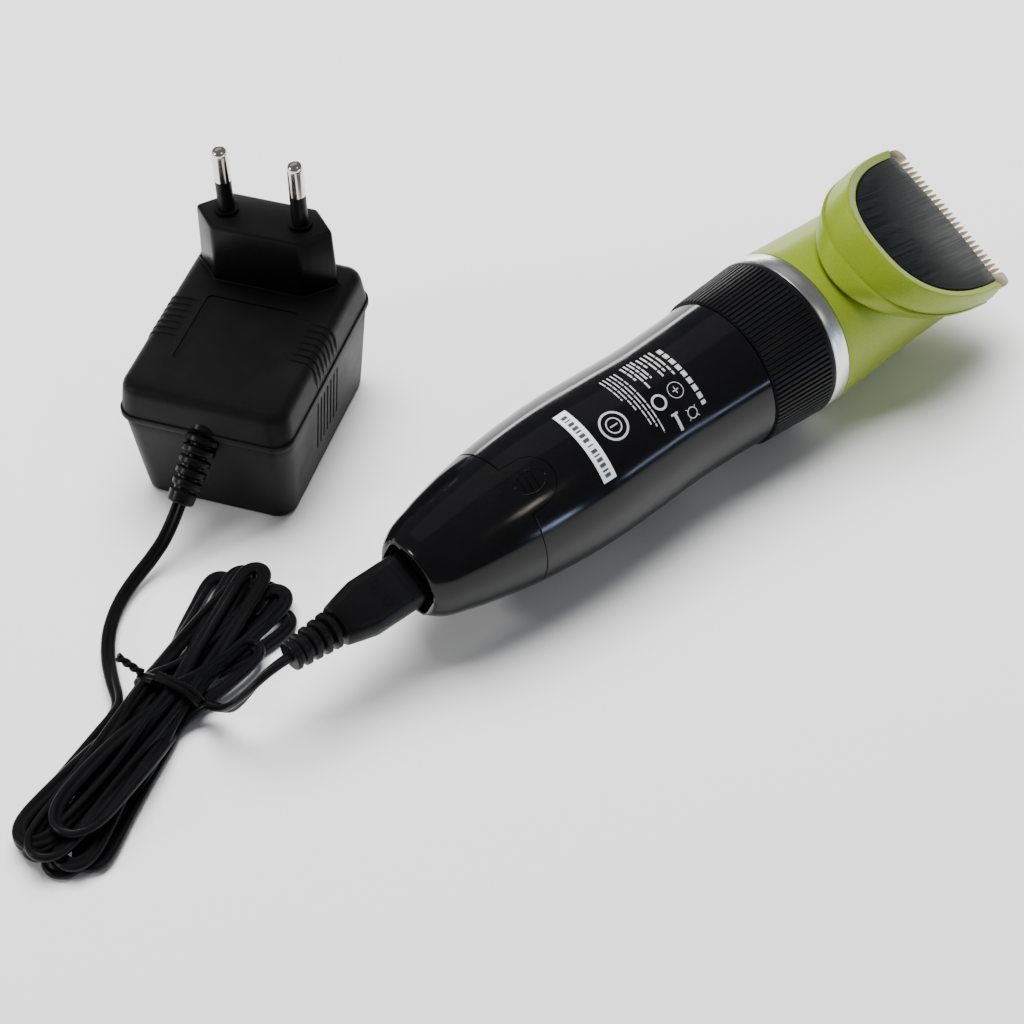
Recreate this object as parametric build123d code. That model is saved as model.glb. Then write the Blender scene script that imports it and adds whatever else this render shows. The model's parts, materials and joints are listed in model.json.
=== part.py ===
"""Cordless hair and animal clipper with its plug-in mains charger, lead and connector.

Millimetres, +Z up, everything lying on the plane z = 0.  The clipper is modelled in its own axes:
x runs along the handle from tail to blade with 0 at the front edge of the chrome ring, +z is the
side that carries the blade and the label.  It is then rolled about its long axis and lifted, because
it rests on the edge of its switch.
"""
from build123d import *
from math import cos, sin, tan, radians, degrees, atan2
import os

os.makedirs("parts", exist_ok=True)

# ---------------------------------------------------------------- driving dimensions
ROLL = 24.2                # roll of the lying clipper about its long axis, degrees
SHIFT = (31.55, 2.50)       # clipper's ring-front plane and axis, from the middle of its box
WALL = 1.8                 # housing wall
GAP = 0.15                 # play between covers

TAIL_END = -121.5
CAP_SEAM = -94.6           # where the tail cap meets the housing
RING_REAR, RING_FRONT = -23.5, -4.5
RING_R_REAR, RING_R_FRONT = 19.76, 21.03
NECK_R = 17.65             # turned neck that carries the length ring and the chrome ring
NECK_END = 6.0
RUN_CLEAR = 0.05           # radial running clearance of shafts and the length ring
# outside radius of the handle along x
BODY_PROFILE = [(TAIL_END, 9.5), (-119.4, 11.0), (-112, 13.6), (-103.5, 15.6), (CAP_SEAM, 17.2), (-85, 18.3),
                (-72, 19.0), (-58, 18.75), (-45, 18.35), (-34, 18.6), (RING_REAR, 19.1)]
# outside radius of the green hood along x
HOOD_PROFILE = [(0, 20.95), (12, 20.3), (24, 19.7), (38, 19.3), (52, 19.2)]
HOOD_WALL = 2.0

BLADE_SLOPE = 25.3         # slope of the blade plane to the handle's axis, degrees
BLADE_REF = (62.0, 4.6)    # point (x, z) of the blade plane from which s is counted back
TOOTH_COUNT, TOOTH_PITCH = 24, 1.55
TOOTH_TIP, TOOTH_ROOT = 3.6, 11.4
BLADE_FRONT = 12.2         # s of the frame's front face
LUG_HALF = 22.7            # half-width over the blade's end lugs
PLATE_HALF, PLATE_REAR = 20.5, 46.9
RIDGE_HALF, RIDGE_REAR, RIDGE_H = 21.8, 50.2, 0.7
STEP_HALF, STEP_REAR, STEP_H = 23.0, 55.6, -5.2
BASE_HALF, BASE_REAR, BASE_H = 21.2, 59.4, -9.6

SWITCH_HALF, SWITCH_TOP, SWITCH_EDGE = 5.6, 21.33, 1.0
SWITCH_X = (-52.0, -36.0)
SWITCH_TRAVEL = 4.0
LEVER_X = 16.0             # lever's pivot; its drive pin is 16.3 further on

MOUTH_HALF, MOUTH_HIGH = 8.0, 6.4      # half sizes of the tail cap's opening
PLUG_HALF, PLUG_HIGH = 6.6, 4.1        # half sizes of the charge connector

ADAPTER_AT = (-90.6, 89.3)             # plug block's centre on the table
ADAPTER_YAW = -58.99
ADAPTER_W, ADAPTER_Y = 44.2, (-49.2, 9.6)
ADAPTER_MID_X = 1.06
PART_Z, TOP_Z, BLOCK_Z = 25.8, 36.2, 53.1
BASE_INSET = 2.8
PIN_R, PIN_PITCH, PIN_LONG, SLEEVE_R = 2.0, 19.0, 19.0, 2.0     # sleeves are flush with the bare pins
CORD_D = 3.4                           # width of the flat twin lead

# lowest point of the rolled clipper is the rounded edge of its switch
DOWN = (sin(radians(ROLL)), cos(radians(ROLL)))
AXIS_Z = (SWITCH_HALF - SWITCH_EDGE) * DOWN[0] + (SWITCH_TOP - SWITCH_EDGE) * DOWN[1] + SWITCH_EDGE
REST = Location((SHIFT[0], SHIFT[1], AXIS_Z), (ROLL, 0, 0))
CHARGER = Location((ADAPTER_AT[0] + SHIFT[0], ADAPTER_AT[1] + SHIFT[1], 0), (0, 0, ADAPTER_YAW))


# ---------------------------------------------------------------- helpers
def save(name, shape, rest=REST):
    """Write one node; several solids stay separate inside a compound."""
    solids = list(shape.solids())
    placed = [rest * one for one in solids]
    export_step(placed[0] if len(placed) == 1 else Compound(children=placed), f"parts/{name}.step")


def turned(points, smooth=True):
    """Solid of revolution about x under an outline of (x, radius) points."""
    edge = Spline(*points) if smooth else Polyline(*points)
    first, last = points[0], points[-1]
    sides = Polyline(last, (last[0], 0), (first[0], 0), first)
    return revolve(make_face([edge, sides]), Axis.X)


def rod(radius, x0, x1, y=0.0, z=0.0):
    """Round bar along x."""
    standing = (Align.CENTER, Align.CENTER, Align.MIN)
    return Location((x0, y, z), (0, 90, 0)) * Cylinder(radius, x1 - x0, align=standing)


def tube(outer, inner, x0, x1):
    return rod(outer, x0, x1) - rod(inner, x0 - 1, x1 + 1)


def block(x, y, z):
    """Box between (low, high) pairs."""
    size = (x[1] - x[0], y[1] - y[0], z[1] - z[0])
    return Location(((x[0] + x[1]) / 2, (y[0] + y[1]) / 2, (z[0] + z[1]) / 2)) * Box(*size)


def blade_plane(h=0.0):
    """Plane whose x is s, the distance back from the reference, and whose normal leaves the blade."""
    a = radians(BLADE_SLOPE)
    at = (BLADE_REF[0] + h * sin(a), 0, BLADE_REF[1] + h * cos(a))
    return Plane(origin=at, x_dir=(-cos(a), 0, sin(a)), z_dir=(sin(a), 0, cos(a)))


def on_blade(shape):
    return blade_plane().location * shape


def d_face(half, rear, h, power=2.5, front=BLADE_FRONT):
    """D-shaped face on the blade plane: a superellipse behind a straight front edge."""
    quarter = []
    for step in range(9):
        t = radians(90 * step / 8)
        quarter.append((front + (rear - front) * sin(t) ** (2 / power), half * cos(t) ** (2 / power)))
    points = quarter[:-1] + [(rear, 0)] + [(s, -y) for s, y in reversed(quarter[:-1])]
    return blade_plane(h) * make_face([Spline(*points), Line(points[-1], points[0])])


# ---------------------------------------------------------------- handle shells
handle_out = turned(BODY_PROFILE)
handle_in = turned([(x, r - WALL) for x, r in BODY_PROFILE])


def tongue(grow):
    """Tail cap's tongue over the label side, seen along z, with a rounded tip."""
    root, wide, narrow, tip = CAP_SEAM - 3, 6.5 + grow, 5.9 + grow, -85.0 + grow
    side = [(-89.5, -narrow), (root, -wide), (root, wide), (-89.5, narrow)]
    outline = [Polyline(*side), ThreePointArc(side[-1], (tip, 0), side[0])]
    return Location((0, 0, 8)) * extrude(make_face(outline), 14)


neck = tube(NECK_R, NECK_R - 2.0, RING_REAR - 3, NECK_END)
barrel = (handle_out - handle_in) & block((CAP_SEAM, RING_REAR), (-30, 30), (-30, 30))
spigot = tube(14.4, 12.8, CAP_SEAM - 4, CAP_SEAM + 2.4) + tube(16.2, 12.8, CAP_SEAM, CAP_SEAM + 2)
shoulder = tube(18.2, NECK_R - 2.0, RING_REAR - 2.5, RING_REAR)
shell = barrel + neck + spigot + shoulder
boss_at = [(-40.4, 11.3), (-40.4, -11.3)]
for x, y in boss_at:
    column = Location((x, y, 0)) * Cylinder(2.6, 24.0)
    shell = shell + column - Location((x, y, 0)) * Cylinder(1.2, 21.0)
shell -= tongue(GAP)
# window in the neck for the length ring's inner lug, over its 60 degrees of turn
lug_slot = revolve(Plane.XY * Location((-7.5, 16.6, 0)) * Rectangle(3.4, 3.6), Axis.X, 78)
shell -= Rotation(-9, 0, 0) * lug_slot
# slot for the switch stem and hole for the charge light
slot_x = (-48.0, -48.0 + 7.0 + SWITCH_TRAVEL)
shell -= block(slot_x, (-1.8, 1.8), (-22, -14))
shell -= Location((-60, 0, -17)) * Cylinder(1.5, 8)
split = 0.02
save("back_housing", shell & block((-130, 20), (-30, 30), (split, 30)))
save("front_housing", shell & block((-130, 20), (-30, 30), (-30, -split)))

screw = Cylinder(1.15, 19.0) + Location((0, 0, -9.5)) * Cylinder(1.18, 1.0)
screws = [Location((x, y, -0.3)) * screw for x, y in boss_at]
save("housing_screws", Compound(children=screws))
band = turned([(RING_FRONT, 20.6), (RING_FRONT + 0.4, 21.0), (-0.4, 21.0), (0, 20.7)], False)
save("chrome_ring", band - rod(NECK_R, -9, 9))

# ---------------------------------------------------------------- length ring
ring = turned([(RING_REAR + GAP, RING_R_REAR - 0.5), (RING_REAR + GAP + 0.5, RING_R_REAR),
               (RING_FRONT - GAP - 0.4, RING_R_FRONT), (RING_FRONT - GAP, RING_R_FRONT - 0.4)], False)
ring -= rod(NECK_R + RUN_CLEAR, -40, 10)
lug = revolve(Plane.XY * Location((-7.5, 16.4, 0)) * Rectangle(2.4, 3.4), Axis.X, 10)
save("length_ring", ring + Rotation(-5, 0, 0) * lug)

# ---------------------------------------------------------------- green hood
hood_out = turned(HOOD_PROFILE)
hood_in = turned([(x - 0.01 if x == 0 else x, r - HOOD_WALL) for x, r in HOOD_PROFILE])
CHIN_SLOPE = radians(38)
chin = Plane(origin=(47.3, 0, 1.5), x_dir=(0, 1, 0), z_dir=(cos(CHIN_SLOPE), 0, -sin(CHIN_SLOPE)))


def ahead_of_chin(offset):
    return chin.offset(offset) * Location((0, 0, 40)) * Box(90, 90, 80)


above_base = blade_plane(BASE_H - 0.1) * Location((40, 0, 30)) * Box(140, 90, 60)
hood = hood_out - (hood_in - ahead_of_chin(-HOOD_WALL)) - ahead_of_chin(0)
hood = hood - above_base - rod(NECK_R, -1, NECK_END) + tube(18.9, NECK_R, 0, NECK_END)
hood = hood - above_base
# post for the drive lever's pin, standing on the chin side
post = Location((LEVER_X, 0, -11.5)) * Cylinder(3.0, 15.4) & hood_out
hood = hood + post - Location((LEVER_X, 0, -3)) * Cylinder(1.0, 12)
save("head_housing", hood)

# ---------------------------------------------------------------- works inside the handle
cell_x, cell_y, cell_z, cell_r = (-91.0, -44.0), 7.3, 1.5, 7.05
for side, y in (("left", cell_y), ("right", -cell_y)):
    cell = rod(cell_r, cell_x[0], cell_x[1] - 1.2, y, cell_z) + rod(2.6, cell_x[1] - 1.3, cell_x[1], y, cell_z)
    save(f"battery_cell_{side}", cell)
plates = [block((x, x + 0.4), (-11, 11), (-3, 6)) for x in (cell_x[0] - 0.4, cell_x[1])]
save("battery_contacts", Compound(children=plates))
board = block((-88, -44.2), (-10.5, 10.5), (-9.8, -8.2)) + block((-44.2, -38.2), (-7, 7), (-9.8, -8.2))
chips = ((-80, -5, 6, 5, 1.6), (-70, 4, 9, 6, 2.2), (-58, -5, 4, 4, 1.8), (-50, 5, 5, 3, 1.4))
for x, y, long, wide, high in chips:
    board += block((x, x + long), (y - wide / 2, y + wide / 2), (-8.3, -8.2 + high))
save("circuit_board", board)
save("switch_body", block((-50.5, -37.5), (-3.2, 3.2), (-14.2, -9.8)))
save("light_guide", Location((-60, 0, -14.3)) * Cylinder(1.45, 8.6))
socket = block((-111, -98.6), (-7.2, 7.2), (-4.7, 4.7)) + rod(12.7, -98.6, -96.4)
socket -= block((-112, -104), (-5.0, 5.0), (-2.4, 2.4))
save("charge_socket", socket)

motor = rod(10.05, -38, -13) & block((-38, -13), (-11, 11), (-7.5, 7.5))
motor += rod(3.0, -13, -11)
motor -= rod(1.0 + RUN_CLEAR, -30, -10)
save("motor", motor)
mount = rod(NECK_R - 2.0, -13, -10.6) - rod(3.0, -14, -10)
save("motor_mount", mount)

# rotor: shaft and eccentric, whose pin stops short of the lever's fork
save("motor_shaft", rod(1.0, -29.5, 3.0))
save("eccentric_cam", rod(4.2, 0.0, 6.0) - rod(1.0, -0.1, 3.0) + rod(1.0, 5.9, 8.3, 0.63, 0))

# ---------------------------------------------------------------- drive lever
web = make_face(Polyline((8.7, -1.5), (19, -1.5), (32.3, 6.4), (31.2, 8.9), (17.5, 1.5), (8.7, 1.5),
                         (8.7, -1.5)))
lever = extrude(Plane.XZ * web, 1.7, both=True) + Location((LEVER_X, 0, 0)) * Cylinder(3.0, 3.0)
lever += block((8.7, 14), (-2.9, 2.9), (-1.5, 1.5))
lever -= block((8, 12), (-1.35, 1.35), (-2, 2))
drive_pin = blade_plane(-9.6) * Location((30.9, 0, 3.2)) * Cylinder(1.2, 6.6)
lever = lever + drive_pin - Location((LEVER_X, 0, 0)) * Cylinder(1.0 + RUN_CLEAR, 9)
save("drive_lever", lever)
pin_and_head = Cylinder(1.0, 11.6) + Location((0, 0, 5.4)) * Cylinder(1.8, 0.8)
save("lever_pin", Location((LEVER_X, 0, -3.2)) * pin_and_head)

# ---------------------------------------------------------------- blade unit
base_face = d_face(BASE_HALF, BASE_REAR, BASE_H, 2.0)
lower = loft([base_face, d_face(STEP_HALF + 0.5, STEP_REAR + 0.5, STEP_H)], ruled=True)
upper = loft([d_face(STEP_HALF, STEP_REAR, STEP_H), d_face(RIDGE_HALF, RIDGE_REAR, RIDGE_H)], ruled=True)
dish_low = d_face(PLATE_HALF + 0.1, PLATE_REAR + 0.1, -0.05)
dish_high = d_face(RIDGE_HALF - 0.35, RIDGE_REAR - 0.4, RIDGE_H + 0.05)
dish = loft([dish_low, dish_high], ruled=True)
seat = extrude(d_face(PLATE_HALF + 0.1, PLATE_REAR + 0.1, -1.6), 1.6, dir=blade_plane().z_dir)
well = on_blade(block((BLADE_FRONT - 5, 26.5), (-19.3, 19.3), (-7.0, -1.5)))
well += on_blade(block((25, 42.5), (-11.5, 11.5), (-12, -1.5)))
well += on_blade(block((14.5, 26.5), (-17.0, 17.0), (-12, -5.0)))
frame = (lower + upper) - dish - seat - well
frame -= on_blade(block((BLADE_FRONT - 9, BLADE_FRONT), (-30, 30), (-12, 3)))
screw_at = [(30.0, 15.0), (30.0, -15.0)]
for s, y in screw_at:
    frame -= on_blade(Location((s, y, -5)) * Cylinder(1.0, 8))
save("blade_frame", frame)
frame_screws = [Location((s, y, -4.35)) * Cylinder(1.0, 5.5) for s, y in screw_at]
save("blade_screws", on_blade(Compound(children=frame_screws)))

front_arc = ThreePointArc((11.9, -24), (10.1, 0), (11.9, 24))
plate_front = make_face([front_arc, Polyline((11.9, 24), (60, 24), (60, -24), (11.9, -24))])
plate_d = extrude(d_face(PLATE_HALF, PLATE_REAR, -0.8, front=9.0), 0.8, dir=blade_plane().z_dir)
save("blade_plate", plate_d & on_blade(extrude(Location((0, 0, -1)) * plate_front, 2)))

lug_side = [(BLADE_FRONT - 0.1, 18.2), (BLADE_FRONT - 0.1, LUG_HALF), (7.2, LUG_HALF)]
comb = make_face([Polyline(*reversed(lug_side)), ThreePointArc((7.2, LUG_HALF), (4.6, 21.6), (3.8, 19.3)),
                  Polyline((3.8, 19.3), (6.0, 18.6), (TOOTH_ROOT, 18.4), (BLADE_FRONT - 0.1, 18.2))])
body = make_face(Polyline((TOOTH_ROOT, -18.6), (TOOTH_ROOT, 18.6), (BLADE_FRONT, 20.2), (24, 19.6), (33, 16.5),
                          (33, -16.5), (24, -19.6), (BLADE_FRONT, -20.2), (TOOTH_ROOT, -18.6)))
tooth_foot = TOOTH_ROOT + 0.2
tooth = make_face(Polyline((tooth_foot, -0.5), (TOOTH_TIP, -0.17), (TOOTH_TIP, 0.17), (tooth_foot, 0.5),
                           (tooth_foot, -0.5)))
thick = 0.8
fixed = extrude(body, thick) + extrude(comb, thick) + extrude(mirror(comb, Plane.XZ), thick)
for index in range(TOOTH_COUNT):
    y = (index - (TOOTH_COUNT - 1) / 2) * TOOTH_PITCH
    fixed += Location((0, y, 0)) * extrude(tooth, thick)
save("fixed_blade", on_blade(Location((0, 0, -1.6)) * fixed))

cutter = block((TOOTH_ROOT - 0.4, 24), (-17.2, 17.2), (0, 1.2)) + block((23, 34.5), (-8, 8), (0, 1.2))
for index in range(TOOTH_COUNT - 2):
    y = (index - (TOOTH_COUNT - 3) / 2) * TOOTH_PITCH
    cutter += Location((1.3, y, 0)) * extrude(tooth, 1.2)
save("moving_cutter", on_blade(Location((0, 0, -2.9)) * cutter))
drive = block((26.6, 34.4), (-3.6, 3.6), (-6.4, -2.9)) - block((27.7, 33.6), (-1.5, 1.5), (-6.6, -2.9))
save("cutter_drive_block", on_blade(drive))

carriage = block((14.8, 24.2), (-16.2, 16.2), (-4.5, -3.05)) - block((20.5, 25), (-6, 6), (-5, -3))
carriage += block((16.5, 22.0), (11.6, 13.8), (-9.0, -4.4))
save("blade_carriage", on_blade(carriage))
spring = block((16, 17.2), (-15, 11), (-5.1, -4.5)) + block((16, 22.5), (-15, -13.8), (-5.1, -4.5))
save("blade_spring", on_blade(spring))
rod_path = FilletPolyline((-4.6, 12.7, 3.0), (24, 12.7, 3.0), (37.6, 12.7, 5.6), radius=20)
save("depth_rod", sweep(Plane(origin=rod_path @ 0, z_dir=rod_path % 0) * Circle(0.8), path=rod_path))

# ---------------------------------------------------------------- power switch
knob = block(SWITCH_X, (-SWITCH_HALF, SWITCH_HALF), (-SWITCH_TOP, -18.8))
knob = fillet(knob.edges().filter_by(Axis.X).group_by(Axis.Z)[0], SWITCH_EDGE)
knob = knob + block((-47.6, -41.4), (-1.5, 1.5), (-18.9, -14.4))
for x in range(5):
    knob -= block((-48.2 + 2 * x, -47.4 + 2 * x), (-3.6, 3.6), (-22, -SWITCH_TOP + 0.4))
save("power_switch", knob)

# ---------------------------------------------------------------- label
sticker = (turned([(x, r + 0.14) for x, r in BODY_PROFILE]) - turned([(x, r + 0.03) for x, r in BODY_PROFILE]))
sticker = sticker & block((-76.0, -72.3), (-9.7, 9.7), (5, 30))
save("label_sticker", sticker)

# ---------------------------------------------------------------- tail cap
cap_out = handle_out & block((TAIL_END, CAP_SEAM - GAP), (-30, 30), (-30, 30))
cap_in = turned([(-119.9, 8.0), (-119, 9.1), (-112, 12.0), (-103.5, 14.2), (CAP_SEAM - 4.2, 14.9),
                 (CAP_SEAM + 1, 14.9)])
mouth = extrude(Plane.YZ.offset(-125) * RectangleRounded(2 * MOUTH_HALF, 2 * MOUTH_HIGH, MOUTH_HIGH - 0.8), 12)
cap = cap_out - cap_in - mouth
cap += (handle_out - handle_in) & tongue(0)
cap -= rod(16.4, CAP_SEAM - 0.6, CAP_SEAM + 2.3) - block((-130, 0), (-7, 7), (10, 30))
cap -= rod(14.6, CAP_SEAM - 5, CAP_SEAM + 4)
for y in (-1.6, 0.0, 1.6):
    cap += block((-93.4, -89.6), (y - 0.3, y + 0.3), (17.0, 18.15))
save("tail_cap", cap)

# ---------------------------------------------------------------- charge connector on the clipper's axis
nose = extrude(Plane.YZ.offset(-122) * RectangleRounded(2 * PLUG_HALF - 0.8, 2 * PLUG_HIGH - 1.0, 2.2), 9.5)
tip = block((-112.6, -105.5), (-4.7, 4.7), (-2.1, 2.1))
grip_rear = Plane.YZ.offset(-142) * RectangleRounded(9.8, 7.0, 3.0)
grip_mid = Plane.YZ.offset(-135) * RectangleRounded(2 * PLUG_HALF, 2 * PLUG_HIGH, 2.6)
grip = extrude(grip_mid, 13) + loft([grip_rear, grip_mid], ruled=True)
save("charge_connector", nose + tip + grip - block((-110, -105), (-3.4, 3.4), (-0.7, 0.7)))
contacts = [block((-110, -105.8), (y - 0.5, y + 0.5), (-0.6, 0.6)) for y in (-2, 2)]
save("connector_contacts", Compound(children=contacts))
relief = turned([(-155, 3.5), (-142, 4.6)], False)
for index in range(5):
    relief -= tube(9, 3.3, -153.6 + 2.6 * index, -152.6 + 2.6 * index)
save("connector_strain_relief", relief)

# ---------------------------------------------------------------- adapter, standing on its base
def adapter_face(z, inset, corner):
    y0, y1 = ADAPTER_Y
    at = Location((ADAPTER_MID_X, (y0 + y1) / 2, z))
    return at * RectangleRounded(ADAPTER_W - 2 * inset, y1 - y0 - 2 * inset, corner)


def adapter_box(z0, z1, inset0, inset1, corner):
    return loft([adapter_face(z0, inset0, corner), adapter_face(z1, inset1, corner)], ruled=True)


bottom = adapter_box(0, PART_Z, BASE_INSET, 0.6, 5.0)
bottom = fillet(bottom.edges().group_by(Axis.Z)[0], 1.2)
bottom -= adapter_box(2.2, PART_Z + 1, BASE_INSET + 2.2, 2.6, 3.2)
top = adapter_box(PART_Z, TOP_Z, 0.0, 1.6, 5.0)
top = fillet(top.edges().group_by(Axis.Z)[-1], 2.4)
top -= adapter_box(PART_Z - 1, TOP_Z - 2.2, 2.2, 3.4, 3.0)
corners = [(x, y) for x in (-14.6, 16.7) for y in (-42.3, 1.0)]
for x, y in corners:
    bottom += Location((x, y, 14)) * Cylinder(3.0, 26.2)
    bottom -= Location((x, y, 14)) * Cylinder(1.0, 40) + Location((x, y, 1)) * Cylinder(2.1, 6.4)
    top += Location((x, y, 31)) * Cylinder(3.0, 7.6)
    top -= Location((x, y, 29)) * Cylinder(1.0, 6)

hexagon = Polyline((-17.65, 0), (-11.05, -6.85), (11.05, -6.85), (17.65, 0), (11.05, 6.85), (-11.05, 6.85),
                   (-17.65, 0))
plug_foot = Location((0, 0, TOP_Z)) * scale(make_face(hexagon), 1.035)
plug = loft([plug_foot, Location((0, 0, BLOCK_Z)) * make_face(hexagon)], ruled=True)
plug = fillet(plug.edges().group_by(Axis.Z)[-1], 0.8)
pin_at = [(-PIN_PITCH / 2, 0), (PIN_PITCH / 2, 0)]
sleeve_top, pin_foot = BLOCK_Z + 9.5, TOP_Z - 2.2
standing = (Align.CENTER, Align.CENTER, Align.MIN)
pins, sleeves = [], []
for x, y in pin_at:
    bare = Location((x, y, sleeve_top)) * Cylinder(PIN_R, BLOCK_Z + PIN_LONG - sleeve_top, align=standing)
    bare = fillet(bare.edges().group_by(Axis.Z)[-1], PIN_R - 0.15)
    core = Location((x, y, pin_foot)) * Cylinder(1.4, sleeve_top - pin_foot, align=standing)
    pins.append(bare + core)
    sleeve = Location((x, y, BLOCK_Z)) * Cylinder(SLEEVE_R, sleeve_top - BLOCK_Z, align=standing)
    sleeve += Location((x, y, BLOCK_Z)) * Cylinder(2.9, 1.0, align=standing)
    sleeves.append(sleeve - core)
    plug -= Location((x, y, 40)) * Cylinder(1.4, 60)
    top -= Location((x, y, 34)) * Cylinder(1.4, 10)
save("adapter_bottom_shell", bottom, CHARGER)
save("adapter_top_shell", top, CHARGER)
save("plug_block", plug, CHARGER)
save("plug_pins", Compound(children=pins), CHARGER)
save("pin_sleeves", Compound(children=sleeves), CHARGER)
fixing = Location((0, 0, 12)) * Cylinder(0.98, 16) + Location((0, 0, 2.6)) * Cylinder(2.0, 2.6)
fixings = [Location((x, y, 0)) * fixing for x, y in corners]
save("adapter_screws", Compound(children=fixings), CHARGER)
core = block((-9, 11), (-34, -8), (4, 24)) - block((-6, 8), (-29, -13), (2, 28))
core += block((-6, 8), (-23, -19), (4, 24))
save("transformer_core", core, CHARGER)
winding = block((-5.8, 7.8), (-28.8, -13.2), (6, 22)) - block((-6, 8), (-23.1, -18.9), (5, 23))
save("transformer_windings", winding, CHARGER)
save("rectifier_board", block((-10, 12), (-5.5, -4), (6, 24)), CHARGER)

# ---------------------------------------------------------------- lead, hank and tie, on the table
# points are (x, y, z) from the clipper's ring-front plane and axis, like every x above
RELIEF_EXIT, RELIEF_END = (-130.6, 64.0, 25.0), (-142.2, 60.0, 13.4)
LEAD_TO_ADAPTER = [RELIEF_END, (-147.42, 58.2, 8.18), (-153.6, 57.4, 4.2), (-160.5, 55.8, 2.6),
                   (-167.5, 52.3, 2.1), (-173.4, 47.2, 2.0), (-178.0, 40.8, 2.2), (-181.4, 33.8, 3.2),
                   (-184.0, 27.2, 4.4)]
LEAD_TO_CONNECTOR = [(-155.0, 0.0, AXIS_Z), (-160.2, 0.0, AXIS_Z), (-164.8, 0.7, 18.6), (-167.6, 2.6, 14.2),
                     (-168.8, 5.4, 9.8), (-169.2, 9.2, 6.4), (-169.8, 13.8, 4.8)]


def cord(points):
    """Tube of straight runs and tangent arcs through a route; prints its radii and checks its volume."""
    moved = [Vector(x + SHIFT[0], y + SHIFT[1], z) for x, y, z in points]
    runs = [b - a for a, b in zip(moved, moved[1:])]
    radii = []
    for before, after in zip(runs, runs[1:]):
        half_turn = radians(before.get_angle(after) / 2)
        radii.append(0.45 * min(before.length, after.length) / tan(half_turn))
    path = FilletPolyline(*moved, radius=radii)
    solid = sweep(Plane(origin=path @ 0, z_dir=path % 0) * Circle(CORD_D / 2), path=path)
    section = 3.14159265 * CORD_D ** 2 / 4
    print("radii", [round(r, 1) for r in radii], "length", round(path.length, 1), "volume ratio",
          round(solid.volume / (section * path.length), 4))
    return solid


FLAT = Location((0, 0, 0))
on_table = Location((SHIFT[0], SHIFT[1], 0))
save("lead_to_adapter", cord(LEAD_TO_ADAPTER), FLAT)
save("lead_to_connector", cord(LEAD_TO_CONNECTOR), FLAT)

drop = Vector(*RELIEF_END) - Vector(*RELIEF_EXIT)
relief_axis = Plane(origin=RELIEF_EXIT, z_dir=drop)
cone = relief_axis * Location((0, 0, -6)) * Cone(4.5, 2.9, drop.length + 6, align=standing)
for index in range(4):
    groove = Cylinder(9, 1.0) - Cylinder(3.0, 2)
    cone -= relief_axis * Location((0, 0, 4.2 + 2.8 * index)) * groove
shells = CHARGER * (adapter_box(0, PART_Z, BASE_INSET, 0.6, 5.0) + adapter_box(PART_Z, TOP_Z, 0.0, 1.6, 5.0))
save("adapter_strain_relief", on_table * cone - shells, FLAT)

# hank: a flat bundle waisted by its tie, wider where the loops fan out
HANK_LOW, HANK_TIE, HANK_HIGH = (-221.5, 1.5), (-176.5, 20.5), (-138.5, 33.5)
hank_turn = degrees(atan2(HANK_HIGH[1] - HANK_LOW[1], HANK_HIGH[0] - HANK_LOW[0]))
hank_at = Location((HANK_TIE[0], HANK_TIE[1], 0), (0, 0, hank_turn))
upper_edge = [(-47.5, 0), (-40, 9.0), (-25, 10.0), (0, 7.6), (14, 10.6), (28, 12.6), (37, 9.5), (40.5, 0)]
lower_edge = [(40.5, 0), (36, -9.0), (26, -11.5), (13, -10.0), (0, -7.6), (-25, -9.6), (-40, -8.6), (-47.5, 0)]
plan = make_face([Spline(*upper_edge), Spline(*lower_edge)])
bundle = on_table * hank_at * extrude(plan, 8.6)
tie = on_table * hank_at * (block((-1.3, 1.3), (-9.2, 9.2), (0, 10.2)) - block((-3, 3), (-8.2, 8.2), (-1, 9.2)))
tie += on_table * hank_at * block((-1.3, 1.3), (8.6, 13.5), (8.2, 10.2))
save("cord_hank", bundle, FLAT)
save("cord_tie", tie, FLAT)
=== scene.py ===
"""Looks of a cordless clipper and its plug-in charger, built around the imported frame.

Pieces of the clipper are made in its own axes, in millimetres: x from tail to blade with 0 at the
front edge of the chrome ring, z towards the label side.  CLIPPER turns them into the frame's metres.
The charger is made the same way about the middle of its plug, and CHARGER places it.
"""
import json
import math

import bmesh
import bpy
import numpy as np
from mathutils import Matrix, Vector


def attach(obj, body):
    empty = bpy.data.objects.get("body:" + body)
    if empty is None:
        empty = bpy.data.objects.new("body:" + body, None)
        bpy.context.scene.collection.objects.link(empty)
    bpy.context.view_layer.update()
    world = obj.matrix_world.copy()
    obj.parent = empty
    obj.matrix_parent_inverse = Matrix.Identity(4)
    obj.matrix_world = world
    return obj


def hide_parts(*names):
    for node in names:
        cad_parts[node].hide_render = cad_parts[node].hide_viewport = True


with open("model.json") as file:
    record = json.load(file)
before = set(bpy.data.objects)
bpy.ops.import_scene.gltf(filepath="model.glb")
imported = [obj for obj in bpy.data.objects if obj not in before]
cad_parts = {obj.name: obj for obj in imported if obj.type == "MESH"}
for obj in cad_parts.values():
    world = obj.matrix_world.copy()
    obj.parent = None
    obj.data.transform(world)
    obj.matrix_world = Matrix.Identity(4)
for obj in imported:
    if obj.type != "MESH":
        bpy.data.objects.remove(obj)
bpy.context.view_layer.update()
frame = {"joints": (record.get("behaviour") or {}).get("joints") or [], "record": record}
MM = 0.001

# ------------------------------ places read from the frame
joints = {j["name"]: j for j in frame["joints"]}
AXIS_AT = Vector(joints["ring_turn"]["pos_m"])
LABEL_UP = Vector(joints["lever_swing"]["axis"])
ROLL = math.atan2(-LABEL_UP.y, LABEL_UP.z)
CLIPPER = Matrix.Translation(AXIS_AT) @ Matrix.Rotation(ROLL, 4, "X") @ Matrix.Scale(MM, 4)

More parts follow.
